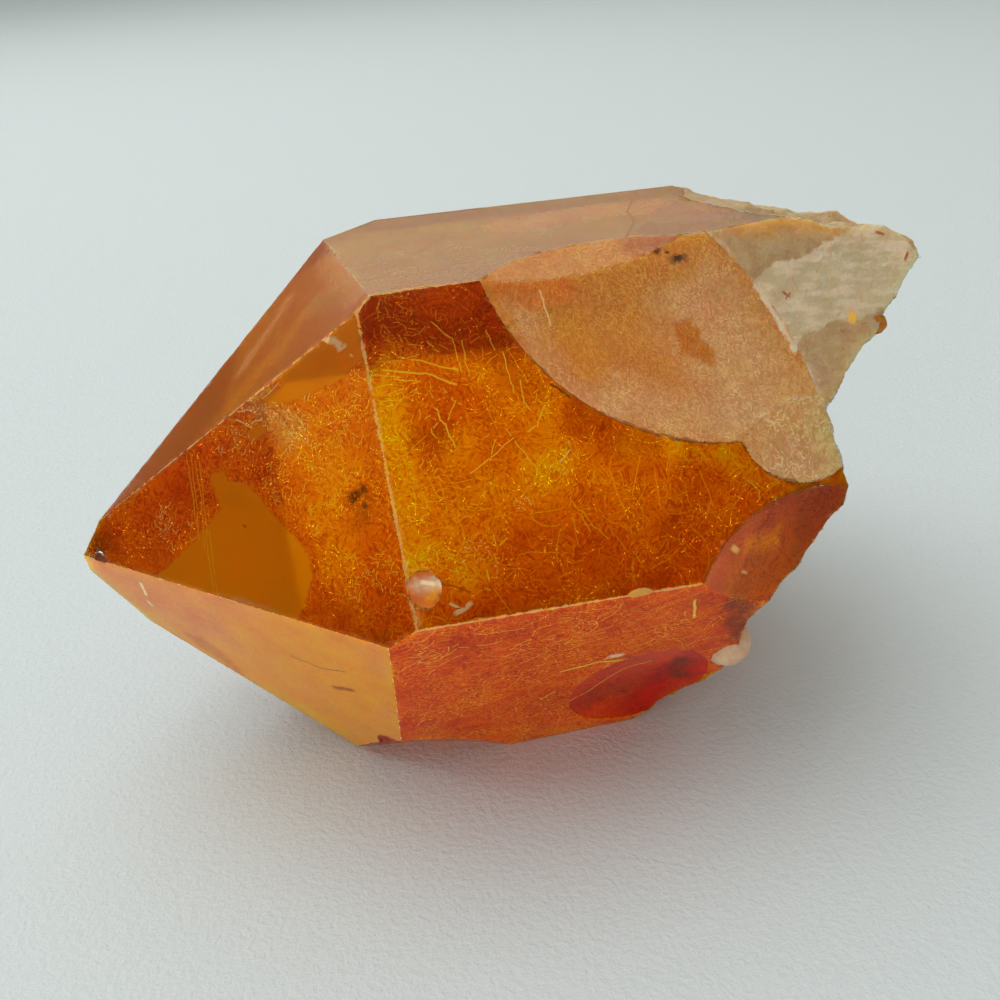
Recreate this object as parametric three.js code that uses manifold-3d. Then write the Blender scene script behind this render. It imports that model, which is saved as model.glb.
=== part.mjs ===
// A tangerine quartz point: one six-sided quartz crystal, broken off its root, lying on a prism face.
// Millimetres, +Z up. The long (c) axis runs along X with the tip at -X; the origin is under the middle.
import * as THREE from "three";
import { mergeVertices } from "three/addons/utils/BufferGeometryUtils.js";
import Module from "manifold-3d";

const wasm = await Module();
wasm.setup();

// Driving dimensions.
const crystalLength = 90;
const crystalWidth = 64;
const axisHeight = 25; // of the long axis above the table
const cutterSize = 160; // longer than the crystal in every direction
const blankSpare = 10; // stone above the top face, taken off with the rest outside the faces
const smoothFacet = 3.2; // edge of the small flats that make up a shell-shaped hollow
const roughFacet = 1.9; // and of the flats of a lumpy one
const startingEdge = 1.1; // of an icosahedron's triangles, for a radius of 1, before they are split
const swellShare = 0.65; // of a lump's height that comes from the long swells
const weldDistance = 1e-4;

// The growth faces. turn goes round the long axis: 0 faces the front (-Y), 90 faces up.
// lean tips a face towards the point, and distance is measured square from the middle of the axis.
const growthFaces = {
  prismTop: { turn: 90.9, lean: 0, distance: 25.4 },
  prismFrontUpper: { turn: 30, lean: -1.3, distance: 24.7 },
  prismFrontLower: { turn: -28.9, lean: 0.7, distance: 24.7 },
  prismUnder: { turn: -90, lean: 0, distance: 25 },
  prismBackUpper: { turn: 150, lean: -1, distance: 24.7 },
  prismBackLower: { turn: 210, lean: 0.4, distance: 24.4 },
  pointTop: { turn: 88.1, lean: 39.3, distance: 29.3 },
  pointFrontUpper: { turn: 29.4, lean: 38.2, distance: 29.3 },
  pointFrontLower: { turn: -31.3, lean: 39.2, distance: 29.8 },
  pointUnder: { turn: -89.7, lean: 37.5, distance: 31.7 },
  pointBackUpper: { turn: 148.2, lean: 38.9, distance: 25.7 },
  pointBackLower: { turn: 210, lean: 38.2, distance: 27.2 },
};

// The broken surfaces. Each is a shallow shell-shaped hollow: deepest is the middle of its floor,
// facing points out of the stone there, radius is how gently it curves,
// and rough is the height of the lumps on it.
const hollows = {
  shoulder: { deepest: [6.6, -16.3, 42.1], facing: [0.21, -0.7, 0.68], radius: 60 },
  shoulderStep: { deepest: [20.7, -22.6, 33.1], facing: [0.12, -0.76, 0.64], radius: 20 },
  crest: { deepest: [8.6, -10.6, 48.9], facing: [0.02, -0.29, 0.95], radius: 40 },
  frontBevel: { deepest: [16.4, -25.3, 26.3], facing: [0.315, -0.949, -0.03], radius: 22 },
  rootBack: { deepest: [33.3, 7.4, 48], facing: [0.55, 0.68, 0.48], radius: 90, rough: 0.5 },
  creamFacet: { deepest: [31, -11.4, 44.2], facing: [0.11, -0.7, 0.7], radius: 150 },
  rootTop: { deepest: [31, 0, 49], facing: [0.2, 0.08, 0.975], radius: 140, rough: 0.4 },
  rootTip: { deepest: [40.3, -6.4, 47.5], facing: [0.54, 0.14, 0.83], radius: 60, rough: 0.15 },
  rootTipEnd: { deepest: [41.7, -7.9, 46], facing: [0.95, -0.1, 0.14], radius: 30 },
  rootTipUnder: { deepest: [40.3, -9.6, 44.75], facing: [0.5, 0, -0.86], radius: 30 },
  endUpper: { deepest: [21.9, -23.75, 22.1], facing: [0.79, -0.32, -0.52], radius: 60, rough: 0.15 },
  endNotch: { deepest: [17.7, -24.3, 17.9], facing: [0.83, -0.3, -0.47], radius: 12 },
  endMiddle: { deepest: [24, 0, 16], facing: [0.85, 0.1, -0.52], radius: 90, rough: 0.6 },
  endLower: { deepest: [14.2, -12, 5.8], facing: [0.65, 0, -0.76], radius: 45, rough: 0.3 },
  ledgeNear: { deepest: [28.5, -1.5, 48.7], facing: [0.45, 0.1, 0.88], radius: 9, rough: 0.15 },
  ledgeMiddle: { deepest: [33.5, 1.5, 47.9], facing: [0.5, -0.2, 0.84], radius: 7, rough: 0.15 },
  ledgeFar: { deepest: [37.7, -3, 47.1], facing: [0.35, 0.3, 0.88], radius: 8, rough: 0.15 },
  cornerChip: { deepest: [-12.1, -14.6, 2.8], facing: [-0.21, -0.61, -0.76], radius: 60 },
  cornerNick: { deepest: [-18.3, -15, 5], facing: [-0.3, -0.8, -0.5], radius: 3 },
  edgeNick: { deepest: [4.6, -28.05, 25.3], facing: [0, -1, -0.1], radius: 3 },
  faceNick: { deepest: [-13.6, -26.4, 28.5], facing: [-0.1, -0.87, 0.49], radius: 3.2 },
  tipNick: { deepest: [-42.4, -4.1, 25.3], facing: [-0.5, -0.85, 0.1], radius: 1.6 },
  redSpall: { deepest: [5.8, -18.2, 8.3], facing: [0.05, -0.87, -0.49], radius: 34 },
};

// The step broken out under the root: an upright wall and a ceiling that rises to the root's tip.
const rootStep = {
  wall: { deepest: [25.4, -15, 30], facing: [1, 0, 0], radius: 60, rough: 0.4 },
  ceiling: { deepest: [33, -12, 40.2], facing: [0.5, -0.07, -0.86], radius: 140, rough: 0.4 },
};

// Rounded scraps left standing: pale quartz on the lower corner of the broken end,
// and a bump on the rim of the root.
const scraps = {
  paleNub: { middle: [17.1, -19.4, 11.4], radii: [2.5, 2.3, 2.6] },
  rimBump: { middle: [34.6, -12.95, 40.7], radii: [1.3, 1.1, 1.2] },
};

function solidOf(geometry) {
  const bare = geometry.clone();
  bare.deleteAttribute("normal");
  bare.deleteAttribute("uv");
  const merged = mergeVertices(bare, weldDistance);
  return new wasm.Manifold(
    new wasm.Mesh({
      numProp: 3,
      vertProperties: merged.attributes.position.array,
      triVerts: new Uint32Array(merged.index.array),
    }),
  );
}

function geometryOf(solid) {
  const { vertProperties, triVerts } = solid.getMesh();
  const geometry = new THREE.BufferGeometry();
  geometry.setAttribute("position", new THREE.BufferAttribute(vertProperties, 3));
  geometry.setIndex(new THREE.BufferAttribute(triVerts, 1));
  return geometry;
}

// The outward direction of a growth face.
function faceNormal({ turn, lean }) {
  const turnAngle = THREE.MathUtils.degToRad(turn);
  const leanAngle = THREE.MathUtils.degToRad(lean);
  return new THREE.Vector3(
    -Math.sin(leanAngle),
    -Math.cos(leanAngle) * Math.cos(turnAngle),
    Math.cos(leanAngle) * Math.sin(turnAngle),
  );
}

// A block that holds everything outside a flat face.
function blockOutside(normal, distance) {
  const block = new THREE.BoxGeometry(cutterSize, cutterSize, cutterSize);
  block.translate(cutterSize / 2 + distance, 0, 0);
  block.applyQuaternion(new THREE.Quaternion().setFromUnitVectors(new THREE.Vector3(1, 0, 0), normal));
  block.translate(0, 0, axisHeight);
  return solidOf(block);
}

function grownCrystal() {
  const blank = new THREE.BoxGeometry(crystalLength, crystalWidth, 2 * axisHeight + blankSpare);
  blank.translate(0, 0, axisHeight);
  return Object.values(growthFaces).reduce(
    (stone, face) => stone.subtract(blockOutside(faceNormal(face), face.distance)),
    solidOf(blank),
  );
}

// Rounded lumps over a broken surface, from -1 to 1: long swells with shorter ones on them.
// The factors are radians a millimetre, and the last number of each sine shifts its wave.
function lumps({ x, y, z }) {
  const swell = Math.sin(0.61 * x + 0.35 * z + 1.3) * Math.sin(0.52 * y - 0.41 * z + 0.4);
  const small = Math.sin(1.45 * x - 0.9 * y + 2.1) * Math.sin(1.2 * z + 0.8 * y - 0.7);
  return swellShare * swell + (1 - swellShare) * small;
}

// A ball whose near side is the floor of a hollow.
function hollowCutter({ deepest, facing, radius, rough = 0 }) {
  const facet = rough > 0 ? roughFacet : smoothFacet;
  const ball = new THREE.IcosahedronGeometry(radius, Math.ceil((startingEdge * radius) / facet));
  const direction = new THREE.Vector3(...facing).normalize();
  const middle = new THREE.Vector3(...deepest).addScaledVector(direction, radius);
  const point = new THREE.Vector3();
  const positions = ball.attributes.position;
  for (let i = 0; i < positions.count; i++) {
    point.fromBufferAttribute(positions, i);
    const outward = point.clone().normalize();
    point.add(middle);
    point.addScaledVector(outward, rough * lumps(point));
    positions.setXYZ(i, point.x, point.y, point.z);
  }
  return solidOf(ball);
}

function scrapSolid({ middle, radii }) {
  const lump = new THREE.IcosahedronGeometry(1, 2);
  lump.scale(...radii);
  lump.translate(...middle);
  return solidOf(lump);
}

const broken = Object.values(hollows).reduce(
  (stone, hollow) => stone.subtract(hollowCutter(hollow)),
  grownCrystal(),
);
const underRoot = hollowCutter(rootStep.wall).intersect(hollowCutter(rootStep.ceiling));
const stone = Object.values(scraps).reduce(
  (solid, scrap) => solid.add(scrapSolid(scrap)),
  broken.subtract(underRoot),
);

const stoneMaterial = new THREE.MeshStandardMaterial({ color: 0xc8702a, roughness: 0.35, flatShading: true });
const crystal = new THREE.Mesh(geometryOf(stone), stoneMaterial);
crystal.name = "quartz_crystal";

// The middle of its outline goes over the origin, and its lowest face on the table.
crystal.geometry.computeBoundingBox();
const { min, max } = crystal.geometry.boundingBox;
crystal.geometry.translate(-(min.x + max.x) / 2, -(min.y + max.y) / 2, -min.z);

const part = new THREE.Group();
part.add(crystal);

export default part;
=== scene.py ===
import math

import bmesh
import bpy
import numpy as np
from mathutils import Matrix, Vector, noise
from mathutils.kdtree import KDTree


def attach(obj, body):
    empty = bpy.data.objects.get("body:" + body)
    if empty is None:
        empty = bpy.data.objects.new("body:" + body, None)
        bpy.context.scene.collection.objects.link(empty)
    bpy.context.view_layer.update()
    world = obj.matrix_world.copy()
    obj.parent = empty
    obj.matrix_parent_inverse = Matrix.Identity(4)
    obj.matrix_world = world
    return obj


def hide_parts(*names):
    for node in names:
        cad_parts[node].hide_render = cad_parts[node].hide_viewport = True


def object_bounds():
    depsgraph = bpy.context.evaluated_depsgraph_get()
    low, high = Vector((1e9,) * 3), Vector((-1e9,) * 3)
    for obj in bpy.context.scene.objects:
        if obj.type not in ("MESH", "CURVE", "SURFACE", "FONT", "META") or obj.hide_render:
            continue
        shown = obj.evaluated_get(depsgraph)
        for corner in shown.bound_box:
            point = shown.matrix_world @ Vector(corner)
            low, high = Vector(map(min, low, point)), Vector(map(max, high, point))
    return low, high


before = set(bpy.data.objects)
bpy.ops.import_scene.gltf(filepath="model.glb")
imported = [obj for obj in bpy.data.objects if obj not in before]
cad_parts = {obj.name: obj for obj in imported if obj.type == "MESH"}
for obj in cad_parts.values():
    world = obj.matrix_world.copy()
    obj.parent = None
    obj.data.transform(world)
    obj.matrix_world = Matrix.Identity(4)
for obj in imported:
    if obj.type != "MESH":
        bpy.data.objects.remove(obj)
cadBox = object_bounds()
print("frame loaded")


# ---- the crystal's own measures, in millimetres from the table under its long axis ----
stone = {
    "axisHeight": 25.0,
    "shift": (-0.324, 0.0205, 0.0),  # puts the middle of the outline over the origin
    "growthFaces": {  # turn round the long axis, lean towards the point, distance from the axis
        "prismTop": (90.9, 0, 25.4),
        "prismFrontUpper": (30, -1.3, 24.7),
        "prismFrontLower": (-28.9, 0.7, 24.7),
        "prismUnder": (-90, 0, 25),
        "prismBackUpper": (150, -1, 24.7),
        "prismBackLower": (210, 0.4, 24.4),
        "pointTop": (88.1, 39.3, 29.3),
        "pointFrontUpper": (29.4, 38.2, 29.3),
        "pointFrontLower": (-31.3, 39.2, 29.8),
        "pointUnder": (-89.7, 37.5, 31.7),
        "pointBackUpper": (148.2, 38.9, 25.7),
        "pointBackLower": (210, 38.2, 27.2),
    },
    "breaks": {  # middle of the floor, direction out of the stone, radius, height of the lumps
        "shoulder": ((6.6, -16.3, 42.1), (0.21, -0.7, 0.68), 60, 0),
        "shoulderStep": ((20.7, -22.6, 33.1), (0.12, -0.76, 0.64), 20, 0),
        "crest": ((8.6, -10.6, 48.9), (0.02, -0.29, 0.95), 40, 0),
        "frontBevel": ((16.4, -25.3, 26.3), (0.315, -0.949, -0.03), 22, 0),
        "rootBack": ((33.3, 7.4, 48), (0.55, 0.68, 0.48), 90, 0.5),
        "creamFacet": ((31, -11.4, 44.2), (0.11, -0.7, 0.7), 150, 0),
        "rootTop": ((31, 0, 49), (0.2, 0.08, 0.975), 140, 0.4),
        "rootTip": ((40.3, -6.4, 47.5), (0.54, 0.14, 0.83), 60, 0.15),
        "rootTipEnd": ((41.7, -7.9, 46), (0.95, -0.1, 0.14), 30, 0),
        "rootTipUnder": ((40.3, -9.6, 44.75), (0.5, 0, -0.86), 30, 0),
        "endUpper": ((21.9, -23.75, 22.1), (0.79, -0.32, -0.52), 60, 0.15),
        "endNotch": ((17.7, -24.3, 17.9), (0.83, -0.3, -0.47), 12, 0),
        "endMiddle": ((24, 0, 16), (0.85, 0.1, -0.52), 90, 0.6),
        "endLower": ((14.2, -12, 5.8), (0.65, 0, -0.76), 45, 0.3),
        "ledgeNear": ((28.5, -1.5, 48.7), (0.45, 0.1, 0.88), 9, 0.15),
        "ledgeMiddle": ((33.5, 1.5, 47.9), (0.5, -0.2, 0.84), 7, 0.15),
        "ledgeFar": ((37.7, -3, 47.1), (0.35, 0.3, 0.88), 8, 0.15),
        "cornerChip": ((-12.1, -14.6, 2.8), (-0.21, -0.61, -0.76), 60, 0),
        "cornerNick": ((-18.3, -15, 5), (-0.3, -0.8, -0.5), 3, 0),
        "edgeNick": ((4.6, -28.05, 25.3), (0, -1, -0.1), 3, 0),
        "faceNick": ((-13.6, -26.4, 28.5), (-0.1, -0.87, 0.49), 3.2, 0),
        "tipNick": ((-42.4, -4.1, 25.3), (-0.5, -0.85, 0.1), 1.6, 0),
        "redSpall": ((5.8, -18.2, 8.3), (0.05, -0.87, -0.49), 34, 0),
        "stepWall": ((25.4, -15, 30), (1, 0, 0), 60, 0.4),
        "stepCeiling": ((33, -12, 40.2), (0.5, -0.07, -0.86), 140, 0.4),
    },
    "scraps": {  # middle, radii
        "paleNub": ((17.1, -19.4, 11.4), (2.5, 2.3, 2.6)),
        "rimBump": ((34.6, -12.95, 40.7), (1.3, 1.1, 1.2)),
    },
    "shallowNicks": {  # the same chips with gentler rims
        "faceNick": ((-13.594, -26.617, 28.625), (-0.1, -0.87, 0.49), 8, 0),
    },
    "gridStep": 0.62,  # spacing of the cuts that make the fine mesh
    "creaseStep": 0.3,  # longest edge that meets a crease
    "wear": 0.07,  # how far the crests of the edges are worn back
}
surfaceNames = [*stone["growthFaces"], *stone["breaks"], *stone["scraps"]]
surfaceIndex = {name: i for i, name in enumerate(surfaceNames)}


def unit(vector):
    vector = np.asarray(vector, float)
    return vector / np.linalg.norm(vector)


def growthNormal(turn, lean):
    t, l = math.radians(turn), math.radians(lean)
    return np.array([-math.sin(l), -math.cos(l) * math.cos(t), math.cos(l) * math.sin(t)])


def lumps(p):
    swell = np.sin(0.61 * p[:, 0] + 0.35 * p[:, 2] + 1.3) * np.sin(0.52 * p[:, 1] - 0.41 * p[:, 2] + 0.4)
    small = np.sin(1.45 * p[:, 0] - 0.9 * p[:, 1] + 2.1) * np.sin(1.2 * p[:, 2] + 0.8 * p[:, 1] - 0.7)
    return 0.65 * swell + 0.35 * small


def offSurface(name, p):
    """How far points stand out of a named surface, and its outward directions."""
    if name in stone["growthFaces"]:
        turn, lean, distance = stone["growthFaces"][name]
        normal = growthNormal(turn, lean)
        return (p - [0, 0, stone["axisHeight"]]) @ normal - distance, np.broadcast_to(normal, p.shape)
    if name in stone["breaks"]:
        deepest, facing, radius, rough = stone["breaks"][name]
        middle = np.array(deepest) + radius * unit(facing)
        ray = p - middle
        length = np.linalg.norm(ray, axis=1)
        ray = ray / length[:, None]
        floor = radius + (rough * lumps(middle + radius * ray) if rough else 0)
        return floor - length, -ray
    middle, radii = (np.array(v) for v in stone["scraps"][name])
    scaled = (p - middle) / radii
    length = np.linalg.norm(scaled, axis=1)
    slope = scaled / radii
    slope = slope / np.linalg.norm(slope, axis=1)[:, None]
    return (length - 1) * radii.mean(), slope


def stonePoints(mesh):
    points = np.empty(len(mesh.vertices) * 3)
    mesh.vertices.foreach_get("co", points)
    return points.reshape(-1, 3) * 1000 - stone["shift"]


def nameFaces(bm):
    """Each face keeps the number of the surface it lies on in its material index, which survives every cut."""
    corners = np.array([[v.co for v in f.verts] for f in bm.faces]) * 1000 - stone["shift"]
    normals = np.cross(corners[:, 1] - corners[:, 0], corners[:, 2] - corners[:, 0])
    normals /= np.maximum(np.linalg.norm(normals, axis=1), 1e-12)[:, None]
    best = np.full(len(corners), 1e9)
    owner = np.zeros(len(corners), int)
    for i, name in enumerate(surfaceNames):
        miss = np.zeros(len(corners))
        for k in range(3):
            gap, outward = offSurface(name, corners[:, k])
            miss += np.abs(gap)
        miss += 0.6 * (1 - (normals * outward).sum(1))
        closer = miss < best
        best[closer], owner[closer] = miss[closer], i
    for face, i in zip(bm.faces, owner):
        face.material_index = int(i)
    print("worst face fit", round(float(best.max()), 3), "mm")


def cutFine(bm):
    bmesh.ops.dissolve_limit(
        bm, angle_limit=math.radians(0.08), verts=bm.verts, edges=bm.edges, delimit={"MATERIAL"}
    )
    low, high = cadBox
    step = stone["gridStep"] / 1000
    for axis in range(3):
        direction = Vector([float(k == axis) for k in range(3)])
        place = low[axis] + step * 0.37
        while place < high[axis]:
            geometry = [*bm.verts, *bm.edges, *bm.faces]
            bmesh.ops.bisect_plane(bm, geom=geometry, dist=2e-6, plane_co=direction * place, plane_no=direction)
            place += step
    bmesh.ops.triangulate(bm, faces=bm.faces, quad_method="SHORT_EDGE")
    limit = stone["creaseStep"] / 1000
    for turn in range(2):
        creases = {v for e in bm.edges if isCrease(e) for v in e.verts}
        near = [e for e in bm.edges if e.calc_length() > limit and (e.verts[0] in creases or e.verts[1] in creases)]
        bmesh.ops.subdivide_edges(bm, edges=near, cuts=1)
        bmesh.ops.triangulate(bm, faces=[f for f in bm.faces if len(f.verts) > 3], quad_method="SHORT_EDGE")


def isCrease(edge):
    return len({f.material_index for f in edge.link_faces}) > 1


bm = bmesh.new()
bm.from_mesh(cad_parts["quartz_crystal"].data)
bmesh.ops.remove_doubles(bm, verts=bm.verts, dist=2e-6)
nameFaces(bm)
cutFine(bm)
mesh = bpy.data.meshes.new("crystalFine")
bm.to_mesh(mesh)
bm.free()
print("fine mesh", len(mesh.polygons), "triangles")


def settle(points, members):
    """Puts every point on all the surfaces that meet there."""
    settled = points.copy()
    for turn in range(12):
        for name, rows in members.items():
            gap, outward = offSurface(name, settled[rows])
            settled[rows] -= gap[:, None] * outward
    drift = settled - points
    length = np.linalg.norm(drift, axis=1)
    tooFar = length > 0.4
    settled[tooFar] = points[tooFar] + drift[tooFar] * (0.4 / length[tooFar])[:, None]
    return settled


owners = np.empty(len(mesh.polygons), np.int32)
mesh.polygons.foreach_get("material_index", owners)
loopVertex = np.empty(len(mesh.loops), np.int32)
mesh.loops.foreach_get("vertex_index", loopVertex)
loopOwner = np.repeat(owners, 3)
members = {
    name: np.unique(loopVertex[loopOwner == i]) for name, i in surfaceIndex.items() if (owners == i).any()
}
stone["breaks"].update(stone["shallowNicks"])
points = settle(stonePoints(mesh), members)


# ---- relief of the broken surfaces and the wear of the edges, in millimetres ----
relief = {
    "growth": 0.006,
    "satin": 0.07,
    "cream": 0.1,
    "hackly": 0.3,
}
surfaceKind = {name: "growth" for name in stone["growthFaces"]}
surfaceKind.update({name: "growth" for name in ("redSpall", "cornerChip", "frontBevel", "cornerNick", "edgeNick")})
surfaceKind.update({name: "satin" for name in ("shoulder", "shoulderStep", "crest")})
surfaceKind.update({name: "cream" for name in ("creamFacet", "rootTip", "rootTipEnd", "rootTipUnder", "tipNick", "faceNick")})
for name in ("rootBack", "rootTop", "ledgeNear", "ledgeMiddle", "ledgeFar", "endUpper", "endNotch", "endMiddle", "endLower", "stepWall", "stepCeiling", "rimBump", "paleNub"):
    surfaceKind[name] = "hackly"
kindOf = np.array([list(relief).index(surfaceKind[name]) for name in surfaceNames])


def roughness(p, kind):
    place = Vector(p)
    if kind == "growth":
        return noise.fractal(place * 0.22, 0.8, 2.1, 3)
    if kind == "satin":
        return noise.fractal(place * 0.2, 0.9, 2.1, 3)
    if kind == "cream":
        return noise.fractal(place * 0.3, 0.6, 2.2, 4)
    swell = noise.fractal(place * Vector((0.3, 0.22, 0.35)), 0.5, 2.1, 5)
    return 0.7 * swell + 0.5 * (abs(noise.noise(place * 0.9 + Vector((7, 3, 1)))) - 0.25)


def roughen(points, normals):
    share = np.zeros((len(points), len(relief)))
    np.add.at(share, (loopVertex, kindOf[loopOwner]), 1)
    share /= share.sum(1)[:, None]
    lift = np.zeros(len(points))
    for k, (kind, height) in enumerate(relief.items()):
        rows = np.nonzero(share[:, k] > 0)[0]
        values = np.array([roughness(points[i], kind) for i in rows])
        lift[rows] += share[rows, k] * height * values
    return points + lift[:, None] * normals


def vertexNormals(mesh, points):
    mesh.vertices.foreach_set("co", ((points + stone["shift"]) / 1000).astype(np.float32).ravel())
    mesh.update()
    normals = np.empty(len(mesh.vertices) * 3, np.float32)
    mesh.vertices.foreach_get("normal", normals)
    return normals.reshape(-1, 3)


def creaseCount(mesh):
    """How many surfaces meet at each vertex."""
    meeting = np.zeros(len(mesh.vertices), int)
    for rows in members.values():
        meeting[rows] += 1
    return meeting


normals = vertexNormals(mesh, points)
meeting = creaseCount(mesh)
points = roughen(points, normals)
crest = np.nonzero(meeting > 1)[0]
chipping = np.array([noise.fractal(Vector(points[i]) * 0.9, 0.5, 2.2, 3) for i in crest])
wornBack = stone["wear"] * (0.7 + 0.9 * np.clip(chipping, -0.6, 1.6))
points[crest] -= (np.clip(wornBack, 0.01, 1)[:, None] * normals[crest])
normals = vertexNormals(mesh, points)
print("relief laid on")


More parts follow.
